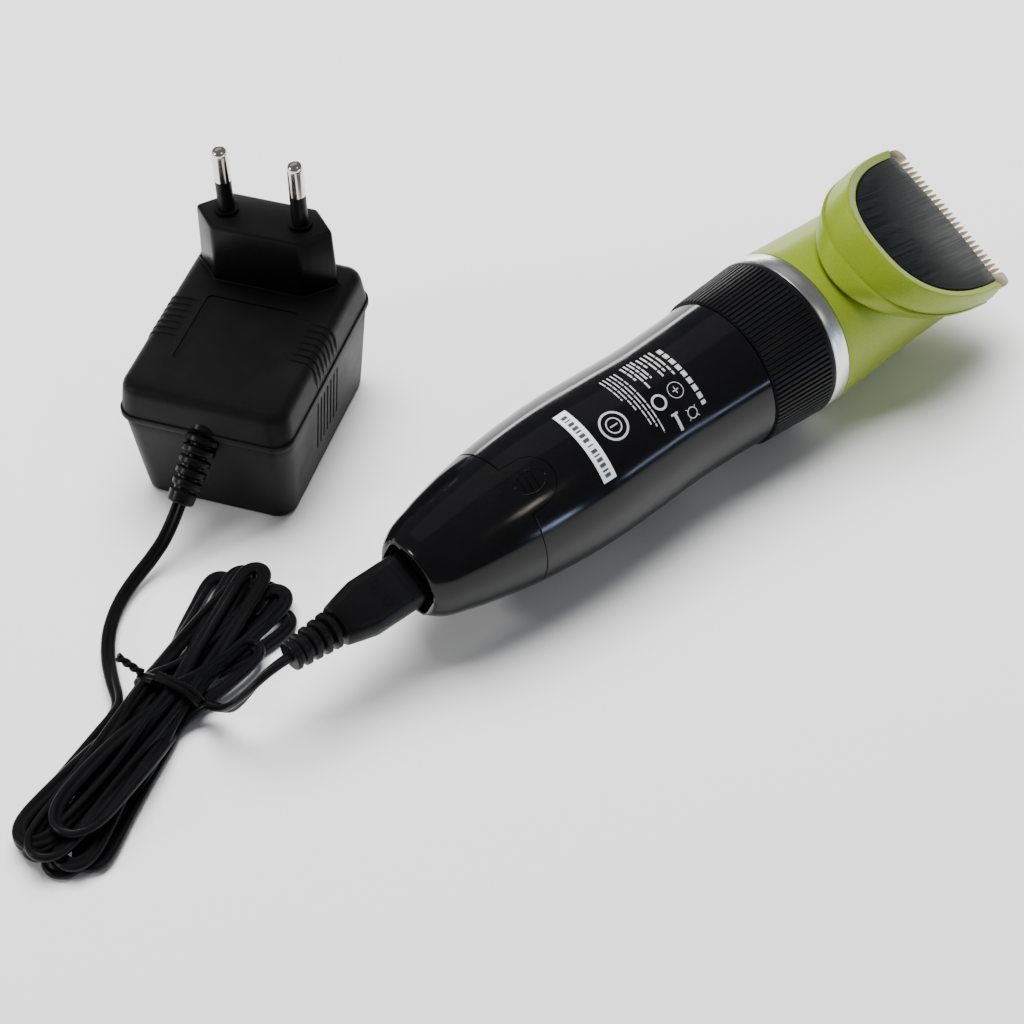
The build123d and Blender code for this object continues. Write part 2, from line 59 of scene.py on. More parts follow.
mounts = {m["name"]: Vector(m["pos_m"]) for m in frame["record"]["mounts"]}
PINS = (mounts["pin_left"], mounts["pin_right"])
PLUG_AT = (PINS[0] + PINS[1]) / 2
YAW = math.atan2(PINS[1].y - PINS[0].y, PINS[1].x - PINS[0].x)
CHARGER = (Matrix.Translation((PLUG_AT.x, PLUG_AT.y, 0)) @ Matrix.Rotation(YAW, 4, "Z") @ Matrix.Scale(MM, 4))
TABLE = Matrix.Translation((AXIS_AT.x, AXIS_AT.y, 0)) @ Matrix.Scale(MM, 4)

# ------------------------------ sizes, mm
WALL = 1.8
TAIL_END, CAP_SEAM = -121.5, -94.6
RING_REAR, RING_FRONT = -23.5, -4.5
BODY = [(TAIL_END, 9.5), (-119.4, 11.0), (-112, 13.6), (-103.5, 15.6), (CAP_SEAM, 17.2), (-85, 18.3),
        (-72, 19.0), (-58, 18.75), (-45, 18.35), (-34, 18.6), (RING_REAR, 19.1)]
HOOD = [(0, 20.95), (12, 20.3), (24, 19.7), (38, 19.3), (52, 19.2)]
BLADE_SLOPE, BLADE_REF = math.radians(25.3), (62.0, 4.6)
BLADE_FRONT = 12.2
TEETH, PITCH = 24, 1.55


# ------------------------------ shader maths
class Sock:
    """A shader socket or number that takes part in Python arithmetic."""

    def __init__(self, mat, out):
        self.mat, self.out = mat, out

    def _math(self, op, *values):
        return self.mat.node("ShaderNodeMath", {"operation": op}, {i: v for i, v in enumerate(values)})

    def __add__(self, other): return self._math("ADD", self, other)
    def __radd__(self, other): return self._math("ADD", other, self)
    def __mul__(self, other): return self._math("MULTIPLY", self, other)
    def __rmul__(self, other): return self._math("MULTIPLY", other, self)


class Mat:
    """A node material built by expressions."""

    def __init__(self, name, **constants):
        self.m = bpy.data.materials.new(name)
        self.m.use_nodes = True
        self.t = self.m.node_tree
        self.bsdf = self.t.nodes["Principled BSDF"]
        for key, value in constants.items():
            self.bsdf.inputs[key.replace("_", " ")].default_value = value

    def put(self, socket, value):
        if isinstance(value, Sock):
            self.t.links.new(value.out, socket)
        elif isinstance(value, tuple) and len(value) == 3 and socket.type == "RGBA":
            socket.default_value = (*value, 1)
        else:
            socket.default_value = value

    def node(self, kind, settings=None, inputs=None, out=0):
        n = self.t.nodes.new(kind)
        for key, value in (settings or {}).items():
            if key == "stops":
                while len(n.color_ramp.elements) < len(value):
                    n.color_ramp.elements.new(0.5)
                for element, (at, shade) in zip(n.color_ramp.elements, value):
                    element.position, element.color = at, (shade, shade, shade, 1)
            else:
                setattr(n, key, value)
        for key, value in (inputs or {}).items():
            self.put(n.inputs[key], value)
        return Sock(self, n.outputs[out])

    def place(self, scale=(1, 1, 1), turn=(0, 0, 0), shift=(0, 0, 0)):
        """Object coordinates, shifted, turned and stretched."""
        at = self.node("ShaderNodeTexCoord", out="Object")
        back = self.node("ShaderNodeMapping", {"vector_type": "TEXTURE"},
                         {"Vector": at, "Location": shift, "Rotation": turn})
        return self.node("ShaderNodeMapping", {}, {"Vector": back, "Scale": scale})

    def noise(self, vector, scale, detail=3.0, rough=0.5):
        return self.node("ShaderNodeTexNoise", {},
                         {"Vector": vector, "Scale": scale, "Detail": detail, "Roughness": rough})

    def ramp(self, value, *stops):
        return self.node("ShaderNodeValToRGB", {"stops": stops}, {0: value})

    def mix(self, factor, a, b):
        return self.node("ShaderNodeMix", {"data_type": "RGBA"}, {"Factor": factor, 6: a, 7: b}, out=2)

    def bump(self, height, distance, strength=1.0):
        return self.node("ShaderNodeBump", {}, {"Height": height, "Distance": distance, "Strength": strength})

    def done(self, **links):
        for key, value in links.items():
            self.put(self.bsdf.inputs[key.replace("_", " ")], value)
        return self.m


def gloss_black(name, rough=0.10, shade=(0.0030, 0.0030, 0.0034)):
    """Polished black housing plastic with faint handling marks."""
    m = Mat(name, Specular_IOR_Level=0.24)
    at = m.place()
    smear = m.ramp(m.noise(at, 55, 5, 0.62), (0.42, 0.0), (0.74, 1.0))
    fine = m.ramp(m.noise(m.place(scale=(1, 3, 3)), 900, 2), (0.6, 0.0), (0.8, 1.0))
    wave = m.noise(at, 38, 1)
    shade_up = tuple(c * 1.7 + 0.0005 for c in shade)
    return m.done(Base_Color=m.mix(smear * 0.5, shade, shade_up), Roughness=smear * 0.09 + fine * 0.04
                  + rough, Normal=m.bump(wave, 0.00006, 0.25))


def satin_black(name, rough=0.38, grain=2600, depth=0.00001, shade=(0.006, 0.006, 0.0064)):
    """Moulded black plastic with a spark-eroded grain and paler, rubbed places."""
    m = Mat(name, Specular_IOR_Level=0.12)
    at = m.place()
    cells = m.noise(at, grain, 2, 0.6)
    worn = m.ramp(m.noise(at, 60, 4, 0.6), (0.45, 0.0), (0.7, 1.0))
    lighter = tuple(c * 1.8 for c in shade)
    return m.done(Base_Color=m.mix(worn * 0.6, shade, lighter), Roughness=rough + worn * -0.07 + cells * 0.12,
                  Normal=m.bump(cells, depth, 0.9))


def satin_metal(name, color, rough=0.24, stretch=(1, 1, 1), turn=(0, 0, 0), amount=0.16):
    """Drawn or brushed metal: colour and roughness vary along fine lines."""
    m = Mat(name)
    lines = m.noise(m.place(scale=stretch, turn=turn), 900, 3, 0.6)
    spots = m.ramp(m.noise(m.place(), 190, 4, 0.6), (0.35, 0.0), (0.75, 1.0))
    dark = tuple(c * 0.72 for c in color)
    return m.done(Base_Color=m.mix(lines * 0.45 + spots * 0.25, color, dark), Metallic=1.0,
                  Roughness=lines * amount + spots * 0.06 + rough, Normal=m.bump(lines, 0.000012, 0.5))


def green_lacquer(name):
    """Lime metallic lacquer: fine aluminium flake under a satin clear coat."""
    m = Mat(name, Coat_Weight=0.12, Coat_Roughness=0.2, Specular_IOR_Level=0.28)
    at = m.place()
    flake = m.node("ShaderNodeTexVoronoi", {}, {"Vector": at, "Scale": 7600.0}, out="Color")
    sparkle = m.node("ShaderNodeSeparateColor", {}, {0: flake}, out=0)
    cloud = m.noise(at, 70, 3)
    base = m.mix(m.ramp(sparkle, (0.1, 0.0), (0.95, 1.0)), (0.165, 0.235, 0.011), (0.270, 0.352, 0.022))
    base = m.mix(cloud * 0.3, base, (0.180, 0.254, 0.013))
    return m.done(Base_Color=base, Metallic=m.ramp(sparkle, (0.3, 0.18), (0.9, 0.45)),
                  Roughness=sparkle * 0.08 + 0.40, Normal=m.bump(sparkle, 0.000005, 0.25))


def brushed_black(name, turn):
    """Black coated plate, brushed along the handle."""
    m = Mat(name, Specular_IOR_Level=0.16)
    lines = m.noise(m.place(scale=(0.02, 1, 0.3), turn=turn), 2600, 4, 0.7)
    broad = m.noise(m.place(scale=(0.05, 1, 0.3), turn=turn), 420, 2)
    line = m.ramp(lines, (0.40, 0.0), (0.66, 1.0))
    return m.done(Base_Color=m.mix(line * 0.8 + broad * 0.15, (0.0018, 0.0020, 0.0024),
                                   (0.014, 0.0145, 0.015)), Roughness=line * 0.22 + 0.34,
                  Normal=m.bump(lines, 0.00003, 0.6))


def plain(name, color, rough=0.5, metal=0.0, vary=0.25, scale=300.0):
    """Unadorned inner finish with a little unevenness."""
    m = Mat(name)
    patch = m.noise(m.place(), scale, 3)
    return m.done(Base_Color=m.mix(patch * vary, color, tuple(c * 0.45 for c in color)), Metallic=metal,
                  Roughness=patch * 0.15 + rough, Normal=m.bump(patch, 0.00002, 0.3))


ON_BLADE = tuple((Matrix.Rotation(ROLL, 3, "X") @ Matrix.Rotation(BLADE_SLOPE, 3, "Y")).to_euler())
HOUSE = gloss_black("gloss_black")
CAP = gloss_black("gloss_black_cap", 0.10)
RUBBER = satin_black("ring_satin_black", 0.36, 3200, 0.000008, (0.0045, 0.0045, 0.005))
ADAPTER = satin_black("adapter_spark_black", 0.42, 2300, 0.00003, (0.0042, 0.0040, 0.0042))
PVC = satin_black("pvc_black", 0.30, 1500, 0.000006, (0.0040, 0.0040, 0.0044))
CHROME = satin_metal("satin_silver", (0.90, 0.89, 0.87), 0.20, (60, 1, 1))
GREEN = green_lacquer("lime_lacquer")
PLATE = brushed_black("brushed_black", ON_BLADE)
GOLD = satin_metal("gold_coating", (0.60, 0.49, 0.31), 0.30, (0.2, 1, 1), ON_BLADE, 0.2)
CUTTER = satin_metal("cutter_steel", (0.34, 0.26, 0.15), 0.34, (0.3, 1, 1), ON_BLADE, 0.2)
NICKEL = satin_metal("nickel", (0.83, 0.79, 0.72), 0.09, (1, 1, 0.05), (0, 0, 0), 0.08)
STEEL = satin_metal("plain_steel", (0.55, 0.55, 0.54), 0.3)
PAPER = plain("label_paper", (0.84, 0.85, 0.86), 0.45, 0.0, 0.12, 500)
PRINT = plain("grey_print", (0.50, 0.50, 0.51), 0.45, 0.0, 0.25, 900)
INK = plain("label_ink", (0.05, 0.055, 0.07), 0.5, 0.0, 0.2, 900)
LENS = plain("red_lens", (0.45, 0.03, 0.02), 0.2)
INNER = plain("inner_plastic", (0.05, 0.05, 0.052), 0.42)
BOARD = plain("board_green", (0.02, 0.13, 0.05), 0.35)
CELL = plain("cell_sleeve", (0.07, 0.22, 0.10), 0.32)
IRON = plain("core_iron", (0.2, 0.2, 0.21), 0.4, 0.9)
COPPER = plain("winding_copper", (0.62, 0.27, 0.10), 0.28, 0.9)


# ------------------------------ mesh helpers
def piece(name, verts, faces, place=CLIPPER, smooth=32.0, outward=True):
    """A mesh object at the origin whose place is in its vertices."""
    mesh = bpy.data.meshes.new(name)
    mesh.from_pydata([tuple(place @ Vector(v)) for v in verts], [], faces)
    obj = bpy.data.objects.new(name, mesh)
    bpy.context.collection.objects.link(obj)
    tidy(obj, smooth, outward)
    return obj


def tidy(obj, smooth=32.0, outward=True):
    bm = bmesh.new()
    bm.from_mesh(obj.data)
    bmesh.ops.remove_doubles(bm, verts=bm.verts, dist=2e-7)
    if outward:
        bmesh.ops.recalc_face_normals(bm, faces=bm.faces)
    bm.to_mesh(obj.data)
    bm.free()
    for polygon in obj.data.polygons:
        polygon.use_smooth = True
    obj.data.set_sharp_from_angle(angle=math.radians(smooth))
    return obj


def settle(obj, smooth=None):
    """Turns an object's modifiers into its plain mesh."""
    bpy.context.view_layer.update()
    done = bpy.data.meshes.new_from_object(obj.evaluated_get(bpy.context.evaluated_depsgraph_get()))
    obj.modifiers.clear()
    obj.data = done
    if smooth:
        tidy(obj, smooth, False)
    return obj


def cut(obj, tool, operation="DIFFERENCE"):
    mod = obj.modifiers.new("cut", "BOOLEAN")
    mod.operation, mod.solver, mod.object = operation, "EXACT", tool
    settle(obj)
    bpy.data.objects.remove(tool)
    return obj


def soften(obj, width, segments=2, angle=30.0, smooth=40.0):
    """Rounds an object's sharp edges by width, in mm."""
    mod = obj.modifiers.new("edge", "BEVEL")
    mod.width, mod.segments = width * MM, segments
    mod.limit_method, mod.angle_limit = "ANGLE", math.radians(angle)
    mod.use_clamp_overlap = True
    return settle(obj, smooth)


def join(name, parts, smooth=32.0):
    """One object of several, as separate shells."""
    verts, faces = [], []
    for part in parts:
        base = len(verts)
        verts += [v.co.copy() for v in part.data.vertices]
        faces += [tuple(i + base for i in p.vertices) for p in part.data.polygons]
        bpy.data.objects.remove(part)
    return piece(name, verts, faces, Matrix.Identity(4), smooth, False)


def give(obj, body, material, slot, *replaced):
    """Finishes a piece: its material, body and the nodes that it stands for, which it hides; slot is not
    used.
    """
    obj.data.materials.clear()
    obj.data.materials.append(material)
    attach(obj, body)
    if replaced:
        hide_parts(*replaced)
    return obj


def through(points, count):
    """Smooth curve through (x, r) points: cubic pieces with finite-difference slopes."""
    p = np.array(points, float)
    x, y = p[:, 0], p[:, 1]
    slope = np.gradient(y, x)
    out = np.linspace(x[0], x[-1], count)
    k = np.clip(np.searchsorted(x, out) - 1, 0, len(x) - 2)
    h = x[k + 1] - x[k]
    t = (out - x[k]) / h
    y_out = ((2 * t**3 - 3 * t**2 + 1) * y[k] + (t**3 - 2 * t**2 + t) * h * slope[k]
             + (3 * t**2 - 2 * t**3) * y[k + 1] + (t**3 - t**2) * h * slope[k + 1])
    return [(float(a), float(b)) for a, b in zip(out, y_out)]


def radius_at(points, x):
    line = through(points, 400)
    return float(np.interp(x, [p[0] for p in line], [p[1] for p in line]))


def lathe(name, outline, steps=144, place=CLIPPER, smooth=32.0, start=0.0, stop=360.0, seam=0.0):
    """Solid of revolution about x of a closed (x, r) outline, over an arc measured from +y towards +z.
    seam sinks the outer skin slightly beside the arc's two ends."""
    full = stop - start >= 360.0
    angles = [start + (stop - start) * i / steps for i in range(steps if full else steps + 1)]
    if seam:
        near = [0.35, 0.9]
        angles = sorted(set(angles + [start + a for a in near] + [stop - a for a in near]))
    verts = []
    for a in angles:
        edge = min(a - start, stop - a)
        sink = seam * max(0.0, 1 - edge / 0.9) if seam else 0.0
        c, s = math.cos(math.radians(a)), math.sin(math.radians(a))
        verts += [(x, (r - sink) * c, (r - sink) * s) for x, r in outline]
    n, rows = len(outline), len(angles)
    faces = [(i * n + j, i * n + (j + 1) % n, (i + 1) % rows * n + (j + 1) % n, (i + 1) % rows * n + j)
             for i in range(rows if full else rows - 1) for j in range(n)]
    if not full:
        faces += [tuple(range(n)), tuple(range((rows - 1) * n, rows * n))]
    return piece(name, verts, faces, place, smooth)


def prism(name, outline, z0, z1, place=CLIPPER, smooth=32.0):
    """Straight-sided solid over an (x, y) outline."""
    n = len(outline)
    verts = [(x, y, z0) for x, y in outline] + [(x, y, z1) for x, y in outline]
    faces = [tuple(range(n)), tuple(range(n, 2 * n))] + [(i, (i + 1) % n, n + (i + 1) % n, n + i)
                                                         for i in range(n)]
    return piece(name, verts, faces, place, smooth)


def slab(name, x, y, z, place=CLIPPER):
    return prism(name, [(x[0], y[0]), (x[1], y[0]), (x[1], y[1]), (x[0], y[1])], z[0], z[1], place)


def round_box(half_x, half_y, corner, per_corner=8):
    """Rounded rectangle as a closed list of points, counter-clockwise."""
    points = []
    for quarter, (sx, sy) in enumerate([(1, 1), (-1, 1), (-1, -1), (1, -1)]):
        for i in range(per_corner + 1):
            a = math.radians(90 * quarter + 90 * i / per_corner)
            points.append((sx * (half_x - corner) + corner * math.cos(a), sy * (half_y - corner)
                           + corner * math.sin(a)))
    return points


def skin(name, rings, place=CLIPPER, smooth=32.0, closed=True):
    """Solid through a stack of rings of equally many 3-D points; its two ends are capped."""
    n = len(rings[0])
    verts = [v for ring in rings for v in ring]
    faces = [(i * n + j, i * n + (j + 1) % n, (i + 1) * n + (j + 1) % n, (i + 1) * n + j)
             for i in range(len(rings) - 1) for j in range(n)]
    if closed:
        faces += [tuple(range(n)), tuple(range((len(rings) - 1) * n, len(rings) * n))]
    return piece(name, verts, faces, place, smooth)


# ------------------------------ geometry nodes: one array for all that repeats
def array_tree():
    """Copies a piece Count times, each shifted by Step and turned about x by Turn from the last."""
    tree = bpy.data.node_groups.new("array", "GeometryNodeTree")
    face = tree.interface
    for label, kind in (("Item", "NodeSocketObject"), ("Count", "NodeSocketInt"),
                        ("Step", "NodeSocketVector"), ("Turn", "NodeSocketFloat"),
                        ("Material", "NodeSocketMaterial")):
        face.new_socket(label, in_out="INPUT", socket_type=kind)
    face.new_socket("Geometry", in_out="OUTPUT", socket_type="NodeSocketGeometry")

    def add(kind, **inputs):
        n = tree.nodes.new(kind)
        for key, value in inputs.items():
            socket = n.inputs[key.replace("_", " ")]
            if isinstance(value, bpy.types.NodeSocket):
                tree.links.new(value, socket)
            else:
                socket.default_value = value
        return n

    given = tree.nodes.new("NodeGroupInput").outputs
    line = tree.nodes.new("GeometryNodeMeshLine")
    line.mode, line.count_mode = "OFFSET", "TOTAL"
    tree.links.new(given["Count"], line.inputs["Count"])
    tree.links.new(given["Step"], line.inputs["Offset"])
    index = tree.nodes.new("GeometryNodeInputIndex").outputs[0]
    turn = tree.nodes.new("ShaderNodeMath")
    turn.operation = "MULTIPLY"
    tree.links.new(index, turn.inputs[0])
    tree.links.new(given["Turn"], turn.inputs[1])
    angle = add("ShaderNodeCombineXYZ", X=turn.outputs[0])
    item = add("GeometryNodeObjectInfo", Object=given["Item"])
    copies = add("GeometryNodeInstanceOnPoints", Points=line.outputs[0], Instance=item.outputs["Geometry"],
                 Rotation=angle.outputs[0])
    real = add("GeometryNodeRealizeInstances", Geometry=copies.outputs[0])
    paint = add("GeometryNodeSetMaterial", Geometry=real.outputs[0], Material=given["Material"])
    out = tree.nodes.new("NodeGroupOutput")
    tree.links.new(paint.outputs[0], out.inputs[0])
    return tree


ARRAY = array_tree()


def array(name, item, count, step=(0, 0, 0), turn=0.0, material=None, place=CLIPPER, smooth=32.0):
    """Plain mesh of the array tree's result; item is modelled in mm with no place."""
    holder = bpy.data.objects.new(name, bpy.data.meshes.new(name))
    bpy.context.collection.objects.link(holder)
    mod = holder.modifiers.new("array", "NODES")
    mod.node_group = ARRAY
    ids = {s.name: s.identifier for s in ARRAY.interface.items_tree if s.in_out == "INPUT"}
    values = {"Item": item, "Count": count, "Step": step, "Turn": turn, "Material": material or PVC}
    for label, value in values.items():
        mod[ids[label]] = value
    bpy.context.view_layer.update()
    made = bpy.data.meshes.new_from_object(holder.evaluated_get(bpy.context.evaluated_depsgraph_get()))
    holder.modifiers.clear()
    made.transform(place)
    holder.data = made
    bpy.data.objects.remove(item)
    return tidy(holder, smooth, False)


NOWHERE = Matrix.Identity(4)

# ------------------------------ camera and light, metres and watts
LENS_LENGTH = 83.6
FIT_TO_FRAME = Vector((AXIS_AT.x, AXIS_AT.y, 0))
VIEW_FROM = Vector((-0.3296, -0.28096, 0.42531))
VIEW_ALONG = Vector((0.43697, 0.51329, -0.73864))
VIEW_RIGHT = Vector((0.75145, -0.65965, -0.01385))


def camera():
    data = bpy.data.cameras.new("camera")
    data.sensor_width, data.lens = 36.0, LENS_LENGTH
    data.clip_start, data.clip_end = 0.01, 20
    obj = bpy.data.objects.new("camera", data)
    bpy.context.collection.objects.link(obj)
    along = VIEW_ALONG.normalized()
    right = (VIEW_RIGHT - along * VIEW_RIGHT.dot(along)).normalized()
    up = right.cross(along)
    turn = Matrix((right, up, -along)).transposed().to_4x4()
    obj.matrix_world = Matrix.Translation(VIEW_FROM + FIT_TO_FRAME) @ turn
    bpy.context.scene.camera = obj


def lamp(name, at, aim, size, power, color=(1, 1, 1), mirrored=True):
    data = bpy.data.lights.new(name, "AREA")
    data.shape, data.size, data.size_y, data.energy, data.color = "RECTANGLE", size[0], size[1], power, color
    obj = bpy.data.objects.new(name, data)
    bpy.context.collection.objects.link(obj)
    obj.location = at
    obj.visible_glossy = mirrored
    obj.rotation_euler = (Vector(aim) - Vector(at)).to_track_quat("-Z", "Y").to_euler()


def stage():
    floor = slab("floor", (-6000, 6000), (-6000, 6000), (-2, 0), Matrix.Scale(MM, 4))
    m = Mat("floor_pale", Specular_IOR_Level=0.15)
    floor.data.materials.append(m.done(Base_Color=m.mix(m.noise(m.place(), 6, 3), (0.93, 0.93, 0.93),
                                                        (0.95, 0.95, 0.95)), Roughness=0.9))
    world = bpy.data.worlds.new("sky")
    bpy.context.scene.world = world
    world.use_nodes = True
    back = world.node_tree.nodes["Background"]
    back.inputs[0].default_value, back.inputs[1].default_value = (0.95, 0.97, 1.0, 1), 0.16
    lamp("top_soft", (0.20, 0.45, 1.35), (0, 0, 0), (1.2, 1.0), 52, mirrored=False)
    lamp("sheen", (0.2, 0.9, 1.5), (0, 0, 0), (2.2, 1.2), 2.2)
    lamp("far_soft", (0.95, 1.65, 0.16), (0, 0, 0.02), (0.9, 0.22), 7)
    lamp("left_soft", (-1.25, 0.55, 0.60), (-0.05, 0.03, 0.0), (0.22, 0.16), 6)
    lamp("window", (0.26, -1.25, 0.145), (-0.05, 0, 0.02), (0.16, 0.09), 1.3, (0.50, 0.66, 1.0))
    lamp("window_far", (0.72, -1.1, 0.17), (-0.05, 0, 0.02), (0.30, 0.06), 0.7, (0.55, 0.70, 1.0))
    lamp("warm", (0.15, -0.85, 0.90), (-0.05, 0, 0.02), (0.16, 0.10), 0.7, (1.0, 0.93, 0.84))


camera()
stage()

# ------------------------------ lead: one smooth line from connector to adapter
AXIS_Z = AXIS_AT.z / MM
RELIEF_EXIT, RELIEF_END = (-130.6, 64.0, 25.0), (-142.2, 60.0, 13.4)
TO_ADAPTER = [RELIEF_END, (-147.42, 58.2, 8.18), (-153.6, 57.4, 4.2), (-160.5, 55.8, 2.6),
              (-167.5, 52.3, 2.1), (-173.4, 47.2, 2.0), (-178.0, 40.8, 2.2), (-181.4, 33.8, 3.2),
              (-184.0, 27.2, 4.4)]
TO_CONNECTOR = [(-155.0, 0.0, AXIS_Z), (-160.2, 0.0, AXIS_Z), (-164.8, 0.7, 18.6), (-167.6, 2.6, 14.2),
                (-168.8, 5.4, 9.8), (-169.2, 9.2, 6.4), (-169.8, 13.8, 4.8)]
HANK_LOW, HANK_TIE, HANK_HIGH = (-221.5, 1.5), (-176.5, 20.5), (-138.5, 33.5)
HANK_TURN = math.atan2(HANK_HIGH[1] - HANK_LOW[1], HANK_HIGH[0] - HANK_LOW[0])
WIRE = 0.92                # radius of one of the lead's two cores


def on_hank(u, v, z):
    """Point u along the hank from its tie, v across it."""
    c, s = math.cos(HANK_TURN), math.sin(HANK_TURN)
    return (HANK_TIE[0] + u * c - v * s, HANK_TIE[1] + u * s + v * c, z)


# ends of the hank's bights: how far out, how far across, half-width, height
HIGH_ENDS = [(39.0, 9.6, 2.6, 1.4), (42.0, 5.0, 2.7, 3.3), (41.0, -2.6, 3.2, 1.5), (36.0, -9.8, 3.6, 1.4),
             (42.5, 1.4, 2.8, 5.3), (38.5, 0.6, 4.0, 3.4), (40.0, -6.2, 3.4, 3.5), (23.5, -9.4, 2.8, 3.2)]
LOW_ENDS = [(-42.5, -8.2, 3.4, 1.4), (-46.3, 3.4, 3.6, 3.3), (-46.5, -2.6, 4.2, 1.5), (-43.0, 6.4, 3.2, 1.4),
            (-45.0, 5.4, 4.2, 5.2), (-47.0, 0.6, 4.6, 5.3), (-44.8, -5.4, 4.2, 3.5), (-40.0, -1.5, 5.6, 6.8),
            (-44.5, 5.6, 5.4, 2.9)]
COLUMNS, LAYERS = (-4.9, -1.6, 1.7, 5.0), (1.5, 3.4, 5.3, 7.2)


def bight(v_in, z_in, v_out, z_out, end):
    """Points out along the hank from its tie, round one end and back."""
    u_end, v_end, half, z_end = end
    middle = (v_in + v_out) / 2
    along = Vector((u_end, v_end - middle))
    long = along.length
    along.normalize()
    across = Vector((-along.y, along.x))
    if across.y * (v_in - v_out) < 0:
        across = -across

    def side(sign, v_tie, z_tie):
        row = [(math.copysign(3.2, u_end), v_tie, z_tie)]
        for part, out in ((0.2, 0.30), (0.4, 0.66), (0.6, 0.90), (0.8, 1.0), (0.98, 1.0)):
            at = along * (part * (long - half)) + across * (sign * half * out)
            row.append((at.x, at.y + middle + (v_tie - middle) * (1 - out), z_tie
                        + (z_end - z_tie) * min(1, out * 1.05)))
        for reach, out in ((0.62, 0.80), (1.1, 0.32)):
            at = along * (long - half + half * reach) + across * (sign * half * out)
            row.append((at.x, at.y + middle, z_end))
        return row
    return side(1, v_in, z_in) + side(-1, v_out, z_out)[::-1]


def hank_points():
    """Turns of the hank: a bight at the low end, then one at the high end, each through the tie."""
    slots = [(COLUMNS[(3 * k + k // 4) % 4], LAYERS[(k // 4 + k % 2) % 4])
             for k in range(2 * len(HIGH_ENDS) + 1)]
    points = []
    for k, low in enumerate(LOW_ENDS):
        v_in, z_in = slots[2 * k]
        v_mid, z_mid = slots[2 * k + 1] if 2 * k + 1 < len(slots) else (8.6, 3.6)
        points += bight(v_in, z_in, v_mid, z_mid, low)
        if k < len(HIGH_ENDS):
            points += bight(v_mid, z_mid, *slots[2 * k + 2], HIGH_ENDS[k])
    return [on_hank(*p) for p in points[:-1]]


def lead_line(points):
    """Points of one NURBS line through the route, in metres."""
    data = bpy.data.curves.new("lead_line", "CURVE")
    data.dimensions, data.resolution_u = "3D", 5
    spline = data.splines.new("NURBS")
    spline.points.add(len(points) - 1)
    for slot, point in zip(spline.points, points):
        slot.co = (*(TABLE @ Vector(point)), 1)
    spline.order_u, spline.use_endpoint_u = 3, True
    line = bpy.data.objects.new("lead_line", data)
    bpy.context.collection.objects.link(line)
    bpy.context.view_layer.update()
    mesh = bpy.data.meshes.new_from_object(line)
    out = []
    for v in mesh.vertices:
        if not out or (v.co - out[-1]).length > 2e-4:
            out.append(v.co.copy())
    bpy.data.objects.remove(line)
    return out


def twin_lead():
    """Flat twin lead: a figure-of-eight section that turns slowly about its line."""
    route = TO_CONNECTOR + hank_points() + TO_ADAPTER[::-1]
    line = lead_line(route)
    length = sum((b - a).length for a, b in zip(line, line[1:]))
    section = []
    for side in (1, -1):
        for i in range(9):
            a = math.radians(-140 + 35 * i)
            section.append((side * (WIRE * 0.86 + WIRE * math.cos(a)), side * WIRE * math.sin(a)))
    rings, run = [], 0.0
    for i, p in enumerate(line):
        ahead = (line[min(i + 1, len(line) - 1)] - line[max(i - 1, 0)]).normalized()
        if i:
            run += (p - line[i - 1]).length / MM
        flat = ahead.cross(Vector((0, 0, 1)))
        flat = flat.normalized() if flat.length > 0.15 else Vector((0, 1, 0))
        room = max(0.0, p.z / MM - WIRE - 0.12) / (WIRE * 0.86)
        most = math.asin(min(1.0, room))
        turn = 0.8 * math.sin(run / 31.0) + 0.6 * math.sin(run / 13.0 + 1.0)
        flat = Matrix.Rotation(max(-most, min(most, turn)), 3, ahead) @ flat
        lift = ahead.cross(flat).normalized()
        rings.append([p + flat * (x * MM) + lift * (y * MM) for x, y in section])
    lead = skin("twin_lead", rings, NOWHERE, 50)
    give(lead, "charger", PVC, "lead", "lead_to_adapter", "lead_to_connector", "cord_hank")
    return lead, line, length


LEAD, LEAD_LINE, LEAD_LONG = twin_lead()
print("lead length", round(LEAD_LONG, 3))


# ------------------------------ handle housings
def body_r(x):
    return radius_at(BODY, x)


def stretch(x0, x1, count, less=0.0):
    """(x, r) points along the handle's outside between two places."""
    return [(x, body_r(x) - less) for x in np.linspace(x0, x1, count)]


def tongue_outline(grow):
    """Tail cap's tongue, seen from the label side."""
    root, wide, narrow, tip = CAP_SEAM - 3, 6.5 + grow, 5.9 + grow, -85.0 + grow
    rise = tip + 89.5
    round_r = (narrow ** 2 + rise ** 2) / (2 * rise)
    half = math.asin(narrow / round_r)
    arc = [(tip - round_r + round_r * math.cos(a), round_r * math.sin(a))
           for a in np.linspace(half, -half, 25)]
    return [(root, wide)] + arc + [(root, -wide)]


shell_outline = ([(CAP_SEAM, body_r(CAP_SEAM) - WALL), (CAP_SEAM, body_r(CAP_SEAM) - 0.16)]
                 + stretch(CAP_SEAM + 0.14, RING_REAR - 0.25, 40)
                 + [(RING_REAR, body_r(RING_REAR) - 0.25), (RING_REAR, 17.65), (6.0, 17.65), (6.0, 15.65),
                    (RING_REAR - 2.5, 15.65)] + stretch(RING_REAR - 2.6, CAP_SEAM + 0.1, 12, WALL))
back = lathe("housing_back", shell_outline, 96, CLIPPER, 32, 0, 180, 0.05)
notch = prism("notch", tongue_outline(0.16), 8, 24)
cut(back, notch)
tidy(back, 32)
give(back, "handle", HOUSE, "housing", "back_housing")
front = lathe("housing_front", shell_outline, 96, CLIPPER, 32, 180, 360, 0.05)
cut(front, slab("slot", (-48.0, -37.0), (-1.8, 1.8), (-24, -14)))
tidy(front, 32)
give(front, "handle", HOUSE, "housing", "front_housing")
spigot = lathe("housing_spigot",
               [(-98.6, 12.8), (-98.6, 14.2), (-98.4, 14.4), (CAP_SEAM, 14.4), (CAP_SEAM, 16.2),
                (-92.4, 16.2), (-92.4, 12.8)], 96)
give(spigot, "handle", HOUSE, "housing")


